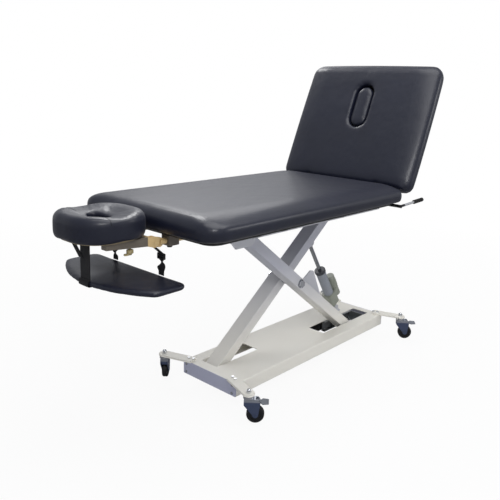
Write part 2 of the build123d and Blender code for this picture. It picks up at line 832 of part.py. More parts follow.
def pad(x0, x1, r_low, r_high):
    """Cushion with rounded corners, a soft top edge and a top that rises gently toward the middle."""
    points = ((x0, -half_y), (x1, -half_y), (x1, half_y), (x0, half_y))
    face = polygon(points)
    low_corners = face.vertices().group_by(Axis.X)[0]
    face = fillet(low_corners, r_low)
    face = fillet(face.vertices().group_by(Axis.X)[-1], r_high)
    body = flat_plate(face, pad_low, pad_top)
    body = fillet(body.faces().sort_by(Axis.Z)[-1].outer_wire().edges(), top_edge_r)
    body = fillet(body.faces().sort_by(Axis.Z)[0].outer_wire().edges(), low_edge_r)
    side_top = pad_top - pad_crown
    outline = Polyline((half_y, side_top), (half_y, pad_low), (-half_y, pad_low), (-half_y, side_top))
    shoulder_y = half_y - shoulder_in
    shoulder_z = pad_top - shoulder_drop
    crown = Spline((-half_y, side_top), (-shoulder_y, shoulder_z), (0, pad_top), (shoulder_y, shoulder_z),
                   (half_y, side_top))
    prism = Plane.YZ * extrude(make_face(outline + crown), x1 - x0)
    return body & (Pos(x0, 0, 0) * prism)


def board(x0, x1):
    shape = flat_plate(rounded(x0, x1, -board_half_y, board_half_y, board_r), board_low, pad_low)
    return chamfer(shape.faces().sort_by(Axis.Z)[0].edges(), edge_small)


def hinge_bracket():
    """Swan-neck bracket under the seat board, with the backrest's pivot pin and the shaft's bearing."""
    points = ((bracket_x0, board_low), (bracket_x0, board_low - bracket_flange_t),
              (bracket_x0 + bracket_eye_r * 2, bracket_low), (bracket_leg_x1, bracket_low),
              (bracket_leg_x1, hinge_z), (bracket_leg_x0, hinge_z), (bracket_leg_x0, board_low))
    face = polygon(points) + Pos(hinge_x, hinge_z) * Circle(bracket_eye_r)
    face -= Pos(shaft_x, shaft_z) * Circle(shaft_r + turn_gap)
    shape = side_plate(face, bracket_y0, bracket_y1)
    flange = block(bracket_x0, seat_board_x1 - board_t, bracket_y0, bracket_flange_y,
                   board_low - bracket_flange_t, board_low)
    shape += fillet(flange.edges().filter_by(Axis.Z).group_by(Axis.Y)[-1], bracket_eye_r)
    return shape + round_y(hinge_x, hinge_z, hinge_pin_r, cheek_y0 - edge_small, bracket_y1 + edge_small)


# Backrest, drawn flat and then raised about the hinge


def raised(shape):
    return Pos(hinge_x, 0, hinge_z) * Rot(0, -back_deg, 0) * Pos(-hinge_x, 0, -hinge_z) * shape


def plug_face(grow):
    return Pos(plug_x, 0) * SlotOverall(plug_long + 2 * grow, plug_wide + 2 * grow)


def back_cushion():
    shape = pad(back_x0, back_x1, back_r_low, back_r_top)
    shape -= flat_plate(plug_face(plug_gap), pad_low - over, pad_top + over)
    for y0, y1 in ((slot_y0, slot_y1), (-slot_y1, -slot_y0)):
        shape -= block(back_x0 - over, back_x0 + slot_deep, y0, y1, pad_low - over, pad_top - slot_roof)
    return shape


def plug():
    shape = flat_plate(plug_face(0), pad_low + soft_gap, pad_top + plug_rise)
    shape = fillet(shape.faces().sort_by(Axis.Z)[-1].edges(), plug_edge)
    return fillet(shape.faces().sort_by(Axis.Z)[0].edges(), plug_rise)


def polar(r, deg):
    return (hinge_x + r * cos(radians(deg)), hinge_z + r * sin(radians(deg)))


def notch(deg):
    """One ratchet notch cut outward from the rack's inner edge."""
    mouth = degrees((rack_tooth + over) / 2 / rack_in_r)
    root = degrees(rack_tooth / 2 / rack_in_r)
    depth = rack_in_r + rack_tooth
    return polygon((polar(rack_in_r - over, deg - root), polar(depth, deg - root),
                    polar(depth, deg + root), polar(rack_in_r - over, deg + mouth + root)))


def ratchet_hinge():
    """Cheek on the hinge pin, flange under the board, and the rack with its inward notches."""
    top = board_low
    points = ((bracket_leg_x0, hinge_z), (bracket_leg_x0, cheek_low + bracket_eye_r),
              (bracket_leg_x0 + bracket_eye_r, cheek_low), (cheek_end - rack_in_r / 4, cheek_low),
              (cheek_end, top - cheek_flange_t), (cheek_end, top),
              (back_x0 + slot_deep - edge_small, top), (back_x0 + slot_deep - edge_small, pad_low),
              (bracket_leg_x1, hinge_z))
    face = polygon(points) + Pos(hinge_x, hinge_z) * Circle(bracket_eye_r)
    face -= Pos(hinge_x, hinge_z) * Circle(hinge_pin_r + turn_gap)
    shape = side_plate(face, cheek_y0, cheek_y1)
    mid = (rack_a0 + rack_a1) / 2
    reach = 2 * rack_out_r
    wedge = polygon(((hinge_x, hinge_z), polar(reach, rack_a0), polar(reach, mid), polar(reach, rack_a1)))
    ring = Pos(hinge_x, hinge_z) * (Circle(rack_out_r) - Circle(rack_in_r))
    rack = ring & wedge
    for step in range(rack_notches):
        rack -= notch(notch_first + step * rack_pitch)
    rack_plate = side_plate(rack, rack_y0, rack_y1)
    rack_plate &= block(hinge_x - reach, hinge_x + reach, 0, reach, hinge_z - reach, top)
    flange = block(cheek_flange_x0, cheek_end, rack_y0, cheek_y1, top - cheek_flange_t, top)
    return shape + rack_plate + flange


def release_shaft():
    """Cross shaft with the lever's rod welded to its near end."""
    shaft = round_y(shaft_x, shaft_z, shaft_r, shaft_y0, shaft_y1)
    shaft = chamfer(shaft.edges(), edge_small)
    rod = round_x(0, 0, lever_rod_r, 0, lever_rod_x - shaft_x + grip_edge)
    return shaft + on_lever(rod)


def on_lever(shape):
    rise = degrees(atan2(grip_rise, grip_x1 - shaft_x))
    return Pos(shaft_x, grip_y, shaft_z) * Rot(0, -rise, 0) * shape


def lever_grip():
    x0 = lever_rod_x - shaft_x
    x1 = grip_x1 - shaft_x
    grip = fillet(round_x(0, 0, grip_r, x0, x1).edges(), grip_edge / 2)
    for step in range(grip_grooves):
        x = x0 + (x1 - x0) * (step + 2) / (grip_grooves + 3)
        ring = round_x(0, 0, grip_r + over, x, x + grip_groove)
        ring -= round_x(0, 0, grip_r - grip_groove, x, x + grip_groove)
        grip -= ring
    grip -= round_x(0, 0, lever_rod_r, x0 - over, x0 + grip_edge)
    return on_lever(grip)


def pawl():
    tip_x, tip_z = polar(pawl_tip_r, pawl_deg)
    run = hypot(tip_x - shaft_x, tip_z - shaft_z)
    lean = degrees(atan2(tip_z - shaft_z, tip_x - shaft_x))
    face = polygon(((0, -pawl_root / 2), (run, -pawl_tip_w / 2), (run, pawl_tip_w / 2), (0, pawl_root / 2)))
    face += Circle(pawl_hub_r)
    face -= Circle(shaft_r)
    return Pos(shaft_x, 0, shaft_z) * Rot(0, -lean, 0) * side_plate(face, rack_y0, rack_y1)


cheek_flange_x0 = back_x0 + slot_deep + over
seat_board = board(seat_board_x0, seat_board_x1)
back_board = board(back_board_x0, back_board_x1)
back_board -= flat_plate(plug_face(-plug_ledge), board_low - over, pad_low + over)
bracket = hinge_bracket()
ratchet = raised(ratchet_hinge())
keep("seat_board", seat_board)
keep("seat_cushion", pad(seat_x0, seat_x1, seat_r_head, seat_r_rear))
keep("hinge_brackets", Compound(children=[bracket, mirror(bracket, Plane.XZ)]))
keep("backrest_board", raised(back_board))
keep("backrest_cushion", raised(back_cushion()))
keep("breathing_plug", raised(plug()))
keep("ratchet_hinges", Compound(children=[ratchet, mirror(ratchet, Plane.XZ)]))
keep("release_shaft", release_shaft())
keep("lever_grip", lever_grip())
keep("pawls", Compound(children=[pawl(), mirror(pawl(), Plane.XZ)]))

# Face cradle


def cradle_cushion():
    """Face cushion: a thick ring about the face hole with soft rims."""
    face = rounded(cradle_x0, cradle_x1, -cradle_half_y, cradle_half_y, cradle_r)
    body = flat_plate(face, cradle_low, cradle_top)
    body = fillet(body.faces().sort_by(Axis.Z)[-1].edges(), cradle_edge)
    dish_ball = (dish_r ** 2 + dish_depth ** 2) / (2 * dish_depth)
    body -= Pos(face_x, 0, cradle_top - dish_depth + dish_ball) * Sphere(dish_ball)
    saddle_r = (saddle_half ** 2 + saddle_depth ** 2) / (2 * saddle_depth)
    body -= round_y(face_x, cradle_top - saddle_depth + saddle_r, saddle_r,
                    -cradle_half_y - over, cradle_half_y + over)
    body -= flat_plate(Pos(face_x, 0) * Ellipse(face_long / 2, face_wide / 2),
                       cradle_low - over, cradle_top + over)
    return fillet(body.faces().sort_by(Axis.Z)[0].edges(), cradle_low_edge)


def platform():
    face = rounded(cradle_x0 + platform_in, cradle_x1 - platform_in, platform_in - cradle_half_y,
                   cradle_half_y - platform_in, cradle_r - platform_in)
    face -= Pos(face_x, 0) * Ellipse(face_long / 2 + platform_in / 2, face_wide / 2 + platform_in / 2)
    return fillet(flat_plate(face, platform_low, platform_top).edges(), edge_small)


def wood_arm(y):
    points = ((wood_root_x, platform_low), (wood_tip_x, platform_low),
              (wood_tip_x, wood_tip_z), (wood_root_x, wood_low_z))
    face = fillet(polygon(points).vertices(), edge_small * 2)
    arm = side_plate(face, y - wood_half, y + wood_half)
    if y < 0:
        arm -= round_z(knob_x, y, tilt_pin_r + turn_gap, wood_low_z - over, platform_low - over)
    return arm


def knuckle(y):
    """Two discs joined to the wooden arm, either side of the yoke's lug, with the tilt pin through both."""
    root = knuckle_r + over
    face = Pos(tilt_x, tilt_z) * Circle(knuckle_r - edge_small)
    top = tilt_z + knuckle_r - edge_small
    face += polygon(((tilt_x, top), (wood_root_x, top), (wood_root_x, tilt_z - knuckle_r / 2),
                     (tilt_x, tilt_z - knuckle_r + edge_small)))
    near = knuckle_t / 2 + knuckle_gap
    far = near + knuckle_disc
    shape = side_plate(face, y + near, y + far) + side_plate(face, y - far, y - near)
    back = block(wood_root_x, wood_root_x + knuckle_t / 2, y - far, y + far,
                 tilt_z - knuckle_r / 2, top)
    pin = round_y(tilt_x, tilt_z, tilt_pin_r, y - far - edge_small, y + far + edge_small)
    return shape + back + pin


def yoke_lug(y):
    dx = yoke_x - tilt_x
    dz = yoke_z - tilt_z
    lean = degrees(atan2(dz, dx))
    middle = Pos((yoke_x + tilt_x) / 2, (yoke_z + tilt_z) / 2)
    face = middle * Rot(0, 0, lean) * SlotCenterToCenter(hypot(dx, dz), knuckle_r * 1.7)
    face -= Pos(tilt_x, tilt_z) * Circle(tilt_pin_r + turn_gap)
    return side_plate(face, y - knuckle_t / 2, y + knuckle_t / 2)


def dowel(y):
    rod = round_x(y, yoke_z, dowel_r, yoke_x, dowel_end)
    return chamfer(rod.faces().sort_by(Axis.X)[-1].edges(), edge_small * 2)


def socket(y):
    body = block(socket_x0, socket_x1, y - socket_half, y + socket_half, socket_low, board_low)
    low_edges = body.edges().filter_by(Axis.Y).group_by(Axis.Z)[0]
    body = fillet(body.edges().filter_by(Axis.Z) + low_edges, socket_edge)
    return body - round_x(y, yoke_z, dowel_r + socket_gap, socket_x0 - over, socket_x1 + over)


def socket_foot(y):
    x = socket_x0 + socket_half - edge_small
    foot = round_z(x, y, socket_foot_r, socket_low - socket_foot_h, socket_low)
    return chamfer(foot.faces().sort_by(Axis.Z)[0].edges(), edge_small)


def cam_knob():
    top = wood_low_z - edge_small
    knob = fillet(round_z(knob_x, -wood_y, knob_r, top - knob_h, top).edges(), edge_small * 2)
    return knob + round_z(knob_x, -wood_y, tilt_pin_r, top, wood_tip_z)


def cam_lever():
    top = wood_low_z - edge_small - knob_h
    face = Pos(knob_x - cam_long / 2, -wood_y) * SlotOverall(cam_long + cam_w, cam_w)
    return fillet(flat_plate(face, top - cam_t, top).edges(), edge_small)


cross_piece = block(yoke_x - yoke_bar / 2, yoke_x + yoke_bar / 2, -wood_y, wood_y,
                    yoke_z - yoke_bar / 2, yoke_z + yoke_bar / 2)
keep("cradle_cushion", cradle_cushion())
keep("cradle_platform", platform())
keep("cradle_arms", Compound(children=[wood_arm(-wood_y), wood_arm(wood_y)]))
keep("cradle_knuckles", Compound(children=[knuckle(-wood_y), knuckle(wood_y)]))
keep("cradle_dowels", cross_piece + dowel(-wood_y) + dowel(wood_y) + yoke_lug(-wood_y) + yoke_lug(wood_y))
keep("cradle_sockets", Compound(children=[socket(-wood_y), socket(wood_y)]))
keep("socket_feet", Compound(children=[socket_foot(-wood_y), socket_foot(wood_y)]))
keep("cam_lever", cam_knob() + cam_lever())

# Arm shelf and its straps


def arm_shelf():
    """Padded shelf: straight at the rear, curved toward the person's hands."""
    y = shelf_half_y
    sides = Polyline((shelf_side, y), (shelf_rear, y), (shelf_rear, -y), (shelf_side, -y))
    front = ThreePointArc((shelf_side, -y), (shelf_apex, 0), (shelf_side, y))
    face = fillet(make_face(sides + front).vertices(), shelf_r)
    body = flat_plate(face, shelf_low, shelf_top)
    by_height = body.faces().sort_by(Axis.Z)
    return fillet(by_height[-1].edges() + by_height[0].edges(), shelf_edge)


def front_strap():
    """Webbing from the shelf's front edge to the platform, with its slanting side branch."""
    y0 = front_strap_y - front_strap_w / 2
    y1 = front_strap_y + front_strap_w / 2
    face = polygon(((y0, front_strap_low), (y1, front_strap_low),
                    (y1, front_strap_top), (y0, front_strap_top)))
    face += polygon(((y1 - over, branch_z), (y1 - over, branch_z - branch_w),
                     (branch_top_y + branch_w / 2, branch_top_z),
                     (branch_top_y + branch_w / 2, front_strap_top),
                     (branch_top_y - branch_w / 2, front_strap_top)))
    return Pos(front_strap_x, 0, 0) * (Plane.YZ * extrude(face, strap_t))


def rear_strap(y):
    return block(rear_strap_x - strap_t / 2, rear_strap_x + strap_t / 2, y - strap_w / 2, y + strap_w / 2,
                 rear_strap_low, rear_strap_top)


def buckle(y):
    """Ladder buckle threaded by the strap: a rim with a cross bar on either face."""
    x0 = rear_strap_x - strap_t / 2
    half_w = buckle_w / 2
    half_h = buckle_h / 2
    rim = block(x0 - buckle_t / 2, x0 + strap_t + buckle_t / 2, y - half_w, y + half_w,
                buckle_z - half_h, buckle_z + half_h)
    rim = fillet(rim.edges().filter_by(Axis.X), buckle_bar - edge_small)
    rim -= block(x0 - buckle_t, x0 + buckle_t * 2, y - half_w + buckle_bar, y + half_w - buckle_bar,
                 buckle_z - half_h + buckle_bar, buckle_z + half_h - buckle_bar)
    bar = block(x0 - buckle_t / 2, x0, y - half_w, y + half_w,
                buckle_z - buckle_bar / 2, buckle_z + buckle_bar / 2)
    slot = block(x0, x0 + strap_t, y - strap_w / 2, y + strap_w / 2, buckle_z - buckle_h, buckle_z + buckle_h)
    return rim + bar - slot


keep("arm_shelf", arm_shelf())
keep("front_strap", front_strap())
keep("rear_straps", Compound(children=[rear_strap(-rear_strap_y), rear_strap(rear_strap_y)]))
keep("strap_buckles", Compound(children=[buckle(-rear_strap_y), buckle(rear_strap_y)]))

# Move everything so that the origin lies below the middle of the whole table, then write the files
boxes = [shape.bounding_box() for shape in nodes.values()]
shift = -(min(box.min.X for box in boxes) + max(box.max.X for box in boxes)) / 2
for name, shape in nodes.items():
    export_step(Pos(shift, 0, 0) * shape, "parts/" + name + ".step")
print("shift", round(shift, 3), "nodes", len(nodes))
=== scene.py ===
import math

import bmesh
import bpy
import numpy as np
from mathutils import Matrix, Vector
from mathutils.bvhtree import BVHTree


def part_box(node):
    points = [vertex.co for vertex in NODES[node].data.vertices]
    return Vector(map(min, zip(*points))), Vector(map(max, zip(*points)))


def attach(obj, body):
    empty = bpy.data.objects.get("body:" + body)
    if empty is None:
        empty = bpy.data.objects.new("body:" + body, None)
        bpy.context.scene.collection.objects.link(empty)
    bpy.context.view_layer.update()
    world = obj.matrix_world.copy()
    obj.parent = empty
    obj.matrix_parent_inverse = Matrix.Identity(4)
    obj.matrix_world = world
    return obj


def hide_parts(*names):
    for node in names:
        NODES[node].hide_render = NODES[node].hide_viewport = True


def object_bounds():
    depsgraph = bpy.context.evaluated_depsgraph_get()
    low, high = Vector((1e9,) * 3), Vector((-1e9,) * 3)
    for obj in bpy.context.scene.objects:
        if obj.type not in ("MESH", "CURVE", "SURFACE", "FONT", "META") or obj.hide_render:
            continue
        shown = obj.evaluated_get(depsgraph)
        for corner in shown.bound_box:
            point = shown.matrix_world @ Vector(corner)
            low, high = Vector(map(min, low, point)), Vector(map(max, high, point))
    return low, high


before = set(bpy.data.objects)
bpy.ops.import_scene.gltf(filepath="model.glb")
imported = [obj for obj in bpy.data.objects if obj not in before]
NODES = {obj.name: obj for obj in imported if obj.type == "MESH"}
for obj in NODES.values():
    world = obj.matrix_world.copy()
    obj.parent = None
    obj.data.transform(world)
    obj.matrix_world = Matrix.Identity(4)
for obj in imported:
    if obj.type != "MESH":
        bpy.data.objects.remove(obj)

# Electric massage table: finishes, soft skins for its cushions and straps, a studio and a camera.
# Lengths are in metres.
MM = 0.001
CAD_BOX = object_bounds()
SCENE = bpy.context.scene

# Finishes: sizes of the patterns in millimetres, and depths of the bumps
PEEL_MM = 2.2
PEEL_DEPTH = 0.06 * MM
TURNING_MM = 1.5
TURNING_DEPTH = 0.04 * MM
SPARK_MM = 1.2
SPARK_DEPTH = 0.05 * MM
GRAIN_MM = 2.4
GRAIN_DEPTH = 0.3 * MM
HOLLOW_MM = 90
HOLLOW_TO_GRAIN = 9.0
STREAK_MM = 6
STREAK_SHRINK = 0.06
RIB_MM = 3.157
RIB_DEPTH = 0.3 * MM
WAVE_RADIANS = 20  # that the wave node draws in one unit at a scale of 1
COLOUR_A, COLOUR_B, COLOUR_OUT = 6, 7, 2  # sockets of the mix node when it mixes colours

# Where one colour turns into another: up the scissor arms, greyed by painted shade toward the seat, down the
# castor forks, and along the release shaft, painted black as shade under the seat
PAINTED_SHADE_ON_ARMS_FROM = 150 * MM
PAINTED_SHADE_ON_ARMS_RISE = 330 * MM
FORK_HEAD_FROM = 80 * MM
FORK_HEAD_RISE = 6 * MM
HANDLE_FROM = 0.3  # share of the shaft's reach along X
HANDLE_STEP = 2 * MM

# Cushions: what every skin shares
MERGE_WITHIN = 0.001 * MM
SOFTEN_TURNS = 4
RELAX_TURNS = 6
SWELL_STEPS = 20
FOAM_PRESSURE = 1.6
HELD_UNDER = 2 * MM  # height above the board under which no point moves with the pressure
FREE_FROM = 12 * MM  # height above the board from which a point moves in full

# Backrest: its lean from level at rest
BACK_TURN = math.radians(66.2)

# Lamps (name, place, width and watts), the point that they face, floor, surroundings and camera
LAMPS = (("overhead softbox", (0.1, -0.6, 3.0), 2.4, 48),
         ("front softbox", (-1.9, -2.6, 2.6), 1.0, 34),
         ("front right softbox", (2.8, -3.4, 1.7), 1.0, 16),
         ("back right softbox", (2.5, 2.8, 2.8), 1.9, 16),
         ("back softbox", (0.95, 2.1, 2.9), 0.8, 18))
LAMP_AIM = Vector((0, 0, 0.6))
FLOOR_HALF = 6.0
FLOOR_FADE = (1.0, 3.5)  # distances between which the shown floor turns from nearly white to white
FLOOR_NEAR_WHITE = 0.93
FLOOR_COLOUR = (0.75, 0.75, 0.75, 1)
FLOOR_IN_MIRRORS = (0.3, 0.3, 0.31, 1)
SKY_COLOUR = (0.93, 0.95, 1.0, 1)
SKY_STRENGTH = 0.42
WHITE = (1, 1, 1, 1)
CAMERA_AT = Vector((-1.798515, -1.65058, 1.20558))
CAMERA_YAW = 0.8658
CAMERA_PITCH = 0.1746
CAMERA_ROLL = 0.0333
CAMERA_FOCUS_PX = 613.39
FRAME_PX = 500
OPTICAL_AXIS_PX = (281.17, 196.02)
SENSOR_MM = 36.0


def linear(hex_code):
    """sRGB hex to linear red, green, blue and alpha 1."""
    values = [int(hex_code[i:i + 2], 16) / 255 for i in (1, 3, 5)]
    return tuple(v / 12.92 if v <= 0.04045 else ((v + 0.055) / 1.055) ** 2.4 for v in values) + (1.0,)


def add(tree, kind, settings=None, links=None):
    """Add one node; settings sets properties or input values, links joins inputs to other nodes'
    outputs."""
    node = tree.nodes.new(kind)
    for key, value in (settings or {}).items():
        if isinstance(key, str) and key not in node.inputs:
            setattr(node, key, value)
        else:
            node.inputs[key].default_value = value
    for key, source in (links or {}).items():
        tree.links.new(source, node.inputs[key])
    return node


def finish_named(name, shader, height=None, depth=0.0):
    """A material with one Principled shader and its settings, and a bump of that depth where a height is
    given."""
    material = bpy.data.materials.new(name)
    material.use_nodes = True
    tree = material.node_tree
    tree.nodes.clear()
    principled = add(tree, "ShaderNodeBsdfPrincipled", shader)
    add(tree, "ShaderNodeOutputMaterial", {}, {"Surface": principled.outputs["BSDF"]})
    coords = add(tree, "ShaderNodeTexCoord").outputs["Object"]
    if height:
        bump = add(tree, "ShaderNodeBump", {"Strength": 1.0, "Distance": depth},
                   {"Height": height(tree, coords)})
        tree.links.new(bump.outputs["Normal"], principled.inputs["Normal"])
    return material, tree, coords, principled


def tint(tree, coords, principled, dark, light, size_mm):
    """Colour that drifts between two shades over patches of about size_mm."""
    noise = add(tree, "ShaderNodeTexNoise", {"Scale": 1000 / size_mm, "Detail": 3.0}, {"Vector": coords})
    shades = add(tree, "ShaderNodeMix",
                 {"data_type": "RGBA", COLOUR_A: linear(dark), COLOUR_B: linear(light)},
                 {0: noise.outputs["Fac"]})
    tree.links.new(shades.outputs[COLOUR_OUT], principled.inputs["Base Color"])


def noise_height(size_mm):
    """A bump's height: noise with lumps of about size_mm."""
    def height(tree, coords):
        noise = add(tree, "ShaderNodeTexNoise", {"Scale": 1000 / size_mm, "Detail": 2.0}, {"Vector": coords})
        return noise.outputs["Fac"]
    return height


def powder_coat(name, dark, light, rough=0.42):
    """Polyester powder coat: satin, with a faint orange peel about 2 mm across."""
    material, tree, coords, principled = finish_named(
        name, {"Roughness": rough, "IOR": 1.5, "Coat Weight": 0.15, "Coat Roughness": 0.25},
        noise_height(PEEL_MM), PEEL_DEPTH)
    tint(tree, coords, principled, dark, light, size_mm=160)
    return material


def bright_metal(name, hex_code, rough):
    """Plated or ground steel: a metal mirror broken by fine turning marks."""
    return finish_named(name, {"Metallic": 1.0, "Roughness": rough, "Base Color": linear(hex_code)},
                        noise_height(TURNING_MM), TURNING_DEPTH)[0]


def moulded(name, dark, light, rough=0.5):
    """Moulded plastic or rubber: even colour under a fine spark-eroded grain."""
    material, tree, coords, principled = finish_named(
        name, {"Roughness": rough, "IOR": 1.49}, noise_height(SPARK_MM), SPARK_DEPTH)
    tint(tree, coords, principled, dark, light, size_mm=40)
    return material


def two_zone(name, axis, start, width, first, second, height=None, depth=0.0):
    """A finish that turns into another one along an axis, from start over width in metres. Each finish
    gives its colour, metallic share and roughness."""
    material, tree, coords, principled = finish_named(name, {"IOR": 1.5}, height, depth)
    along = add(tree, "ShaderNodeSeparateXYZ", {}, {0: coords}).outputs[axis]
    ramp = add(tree, "ShaderNodeMapRange", {"From Min": start, "From Max": start + width}, {"Value": along})
    share = ramp.outputs[0]
    shades = add(tree, "ShaderNodeMix",
                 {"data_type": "RGBA", COLOUR_A: linear(first[0]), COLOUR_B: linear(second[0])}, {0: share})
    tree.links.new(shades.outputs[COLOUR_OUT], principled.inputs["Base Color"])
    for socket, before, after in (("Metallic", first[1], second[1]), ("Roughness", first[2], second[2])):
        mixed = add(tree, "ShaderNodeMapRange", {"To Min": before, "To Max": after}, {"Value": share})
        tree.links.new(mixed.outputs[0], principled.inputs[socket])
    return material


def vinyl():
    """Upholstery vinyl: a leather grain of small cells, drawn twice its real size so that it shows, over
    low hollows a hand wide. A thin coat gives wide soft highlights, and a faint sheen the grazing edges."""
    def height(tree, coords):
        cells = add(tree, "ShaderNodeTexVoronoi",
                    {"Scale": 1000 / GRAIN_MM, "feature": "SMOOTH_F1", "Smoothness": 0.6}, {"Vector": coords})
        wide = add(tree, "ShaderNodeTexNoise", {"Scale": 1000 / HOLLOW_MM, "Detail": 2.0}, {"Vector": coords})
        hollows = add(tree, "ShaderNodeMath", {"operation": "MULTIPLY", 1: HOLLOW_TO_GRAIN},
                      {0: wide.outputs["Fac"]})
        both = add(tree, "ShaderNodeMath", {"operation": "ADD"},
                   {0: cells.outputs["Distance"], 1: hollows.outputs[0]})
        return both.outputs[0]
    material, tree, coords, principled = finish_named(
        "navy vinyl upholstery",
        {"Roughness": 0.45, "IOR": 1.48, "Sheen Weight": 0.03, "Sheen Roughness": 0.4,
         "Coat Weight": 0.3, "Coat Roughness": 0.2}, height, GRAIN_DEPTH)
    tint(tree, coords, principled, "#0B0F20", "#11162B", size_mm=220)
    return material


def wood(name, dark, light):
    """Clear-lacquered beech or birch ply: streaks about 3 mm wide, drawn out along X, the length of the
    boards."""
    material, tree, coords, principled = finish_named(
        name, {"Roughness": 0.4, "IOR": 1.5, "Coat Weight": 0.2})
    drawn_out = add(tree, "ShaderNodeMapping", {"Scale": (STREAK_SHRINK, 1.0, 1.0)}, {"Vector": coords})
    streaks = add(tree, "ShaderNodeTexNoise", {"Scale": 1000 / STREAK_MM, "Detail": 6.0, "Distortion": 0.8},
                  {"Vector": drawn_out.outputs["Vector"]})
    shades = add(tree, "ShaderNodeMix",
                 {"data_type": "RGBA", COLOUR_A: linear(dark), COLOUR_B: linear(light)},
                 {0: streaks.outputs["Fac"]})
    tree.links.new(shades.outputs[COLOUR_OUT], principled.inputs["Base Color"])
    return material


def webbing():
    """Woven polyester webbing: ribs across the strap, drawn about twice as far apart as real ones so that
    they show, and matt with a fibre sheen."""
    def height(tree, coords):
        scale = 2 * math.pi / (WAVE_RADIANS * RIB_MM * MM)
        ribs = add(tree, "ShaderNodeTexWave", {"Scale": scale, "bands_direction": "Z", "Distortion": 1.5},
                   {"Vector": coords})
        return ribs.outputs["Fac"]
    material, tree, coords, principled = finish_named(
        "black webbing", {"Roughness": 0.85, "Sheen Weight": 0.08, "IOR": 1.45}, height, RIB_DEPTH)
    tint(tree, coords, principled, "#07080C", "#0E1016", size_mm=6)
    return material


def give(mesh, material):
    """Leave the mesh with this one material."""
    mesh.materials.clear()
    mesh.materials.append(material)


VINYL = vinyl()
WEBBING = webbing()
THREAD = moulded("black sewing thread", "#050507", "#0A0A0D", 0.8)
# The arms' own coat is the pan's cream; the cool grey further up is painted shade from the seat above.
CREAM_ARMS_WITH_PAINTED_SHADE = two_zone("cream powder coat, greyer up the arms", "Z", PAINTED_SHADE_ON_ARMS_FROM, PAINTED_SHADE_ON_ARMS_RISE,
                     ("#EFECE4", 0.0, 0.42), ("#BFC0CA", 0.0, 0.36), noise_height(PEEL_MM), PEEL_DEPTH)
# Castor forks: bright plating above FORK_HEAD_FROM, and a darker blue-grey, less metallic colour down the
# legs below it.
FORK_STEEL = two_zone("zinc-plated castor steel", "Z", FORK_HEAD_FROM, FORK_HEAD_RISE,
                      ("#46506A", 0.3, 0.3), ("#C4C8D0", 1.0, 0.28))
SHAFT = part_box("release_shaft")
# The release shaft is bright plating; its first part along X is painted black as the shade under the seat.
PLATED_SHAFT_WITH_PAINTED_SHADE = two_zone("black shaft, bright-plated handle", "X",
                       SHAFT[0].x + HANDLE_FROM * (SHAFT[1].x - SHAFT[0].x), HANDLE_STEP,
                       ("#101012", 0.0, 0.5), ("#F2F3F5", 1.0, 0.3))
CASTORS = "1234"
FINISHES = (
    (powder_coat("cream powder coat", "#EDEAE0", "#F3F0E7"), ["base_pan", "castor_bars"]),
    (powder_coat("lilac-grey powder coat", "#B4B6CC", "#BEC0D4"), ["head_end_plate", "foot_end_plate"]),
    (powder_coat("pale grey powder coat", "#C3C4CB", "#CDCED4"),
     ["top_frame", "arm_b_top_bracket", "gusset_plate", "actuator_lugs", "actuator_clevis"]),
    (powder_coat("black powder coat", "#161618", "#1E1E21", 0.45),
     ["hinge_brackets", "ratchet_hinges", "pawls"]),
    (powder_coat("grey-green casting", "#8F9388", "#A0A498", 0.5), ["actuator_gearbox"]),
    (powder_coat("grey anodised tube", "#8D929C", "#9CA1AA", 0.28), ["actuator_tube"]),
    (CREAM_ARMS_WITH_PAINTED_SHADE, ["arm_a_tube", "arm_b_tube", "arm_a_foot_bracket"]),
    (bright_metal("bright plating", "#D9DBDE", 0.16),
     ["base_fasteners", "castor_studs", "centre_bolt", "arm_b_top_pin"]),
    (bright_metal("ground steel", "#A8ABB0", 0.3), ["arm_a_axle", "arm_b_axle", "actuator_rod"]),
    (bright_metal("zinc-plated sheet", "#A3A6A8", 0.4), ["slide_track"]),
    (FORK_STEEL, ["castor_fork_" + n for n in CASTORS]),
    (PLATED_SHAFT_WITH_PAINTED_SHADE, ["release_shaft"]),
    (moulded("natural nylon", "#DCDBD3", "#E4E3DC", 0.4), ["upper_rollers", "lower_rollers"]),
    (moulded("dark grey moulded cap", "#3E4045", "#4A4C52", 0.4), ["actuator_cap"]),
    (moulded("black moulded plastic", "#0E0E10", "#171719", 0.45), ["control_box", "strap_buckles"]),
    (moulded("black rubber", "#0B0B0C", "#131314", 0.7), ["lever_grip", "socket_feet"]),
    (moulded("grey moulded pedal", "#6E7279", "#7C8088", 0.45), ["brake_pedal_" + n for n in CASTORS]),
    (moulded("black wheel tread", "#121315", "#1B1C1F", 0.6), ["castor_wheel_" + n for n in CASTORS]),
    (moulded("taupe moulded socket", "#645C53", "#70685E"), ["cradle_sockets"]),
    (moulded("cream moulded knob", "#A3946C", "#B0A27A"), ["cam_lever"]),
    (wood("lacquered beech", "#C9A873", "#E3C893"), ["cradle_dowels", "cradle_knuckles"]),
    (wood("dull beech ply", "#8B7C60", "#A39371"), ["cradle_platform"]),
    # The cradle arms are beech, painted darker and greyer as the shade under the face cushion.
    (wood("beech darkened by painted shade under the face cushion", "#5F584E", "#746C60"), ["cradle_arms"]),
    (wood("black-stained ply", "#121214", "#1B1B1E"), ["seat_board", "backrest_board"]),
    (WEBBING, ["front_strap", "rear_straps"]),
    (VINYL, ["seat_cushion", "backrest_cushion", "breathing_plug", "cradle_cushion", "arm_shelf"]),
)
for material, node_names in FINISHES:
    for node_name in node_names:
        give(NODES[node_name].data, material)


def new_piece(name, mesh, material):
    """An object of the mesh, with its one material, in the scene."""
    piece = bpy.data.objects.new(name, mesh)
    SCENE.collection.objects.link(piece)
    give(mesh, material)
    return piece


def add_to(piece, name, mesh, material):
    """A further object that belongs to a piece and rides with it."""
    extra = new_piece(name, mesh, material)
    extra.parent = piece


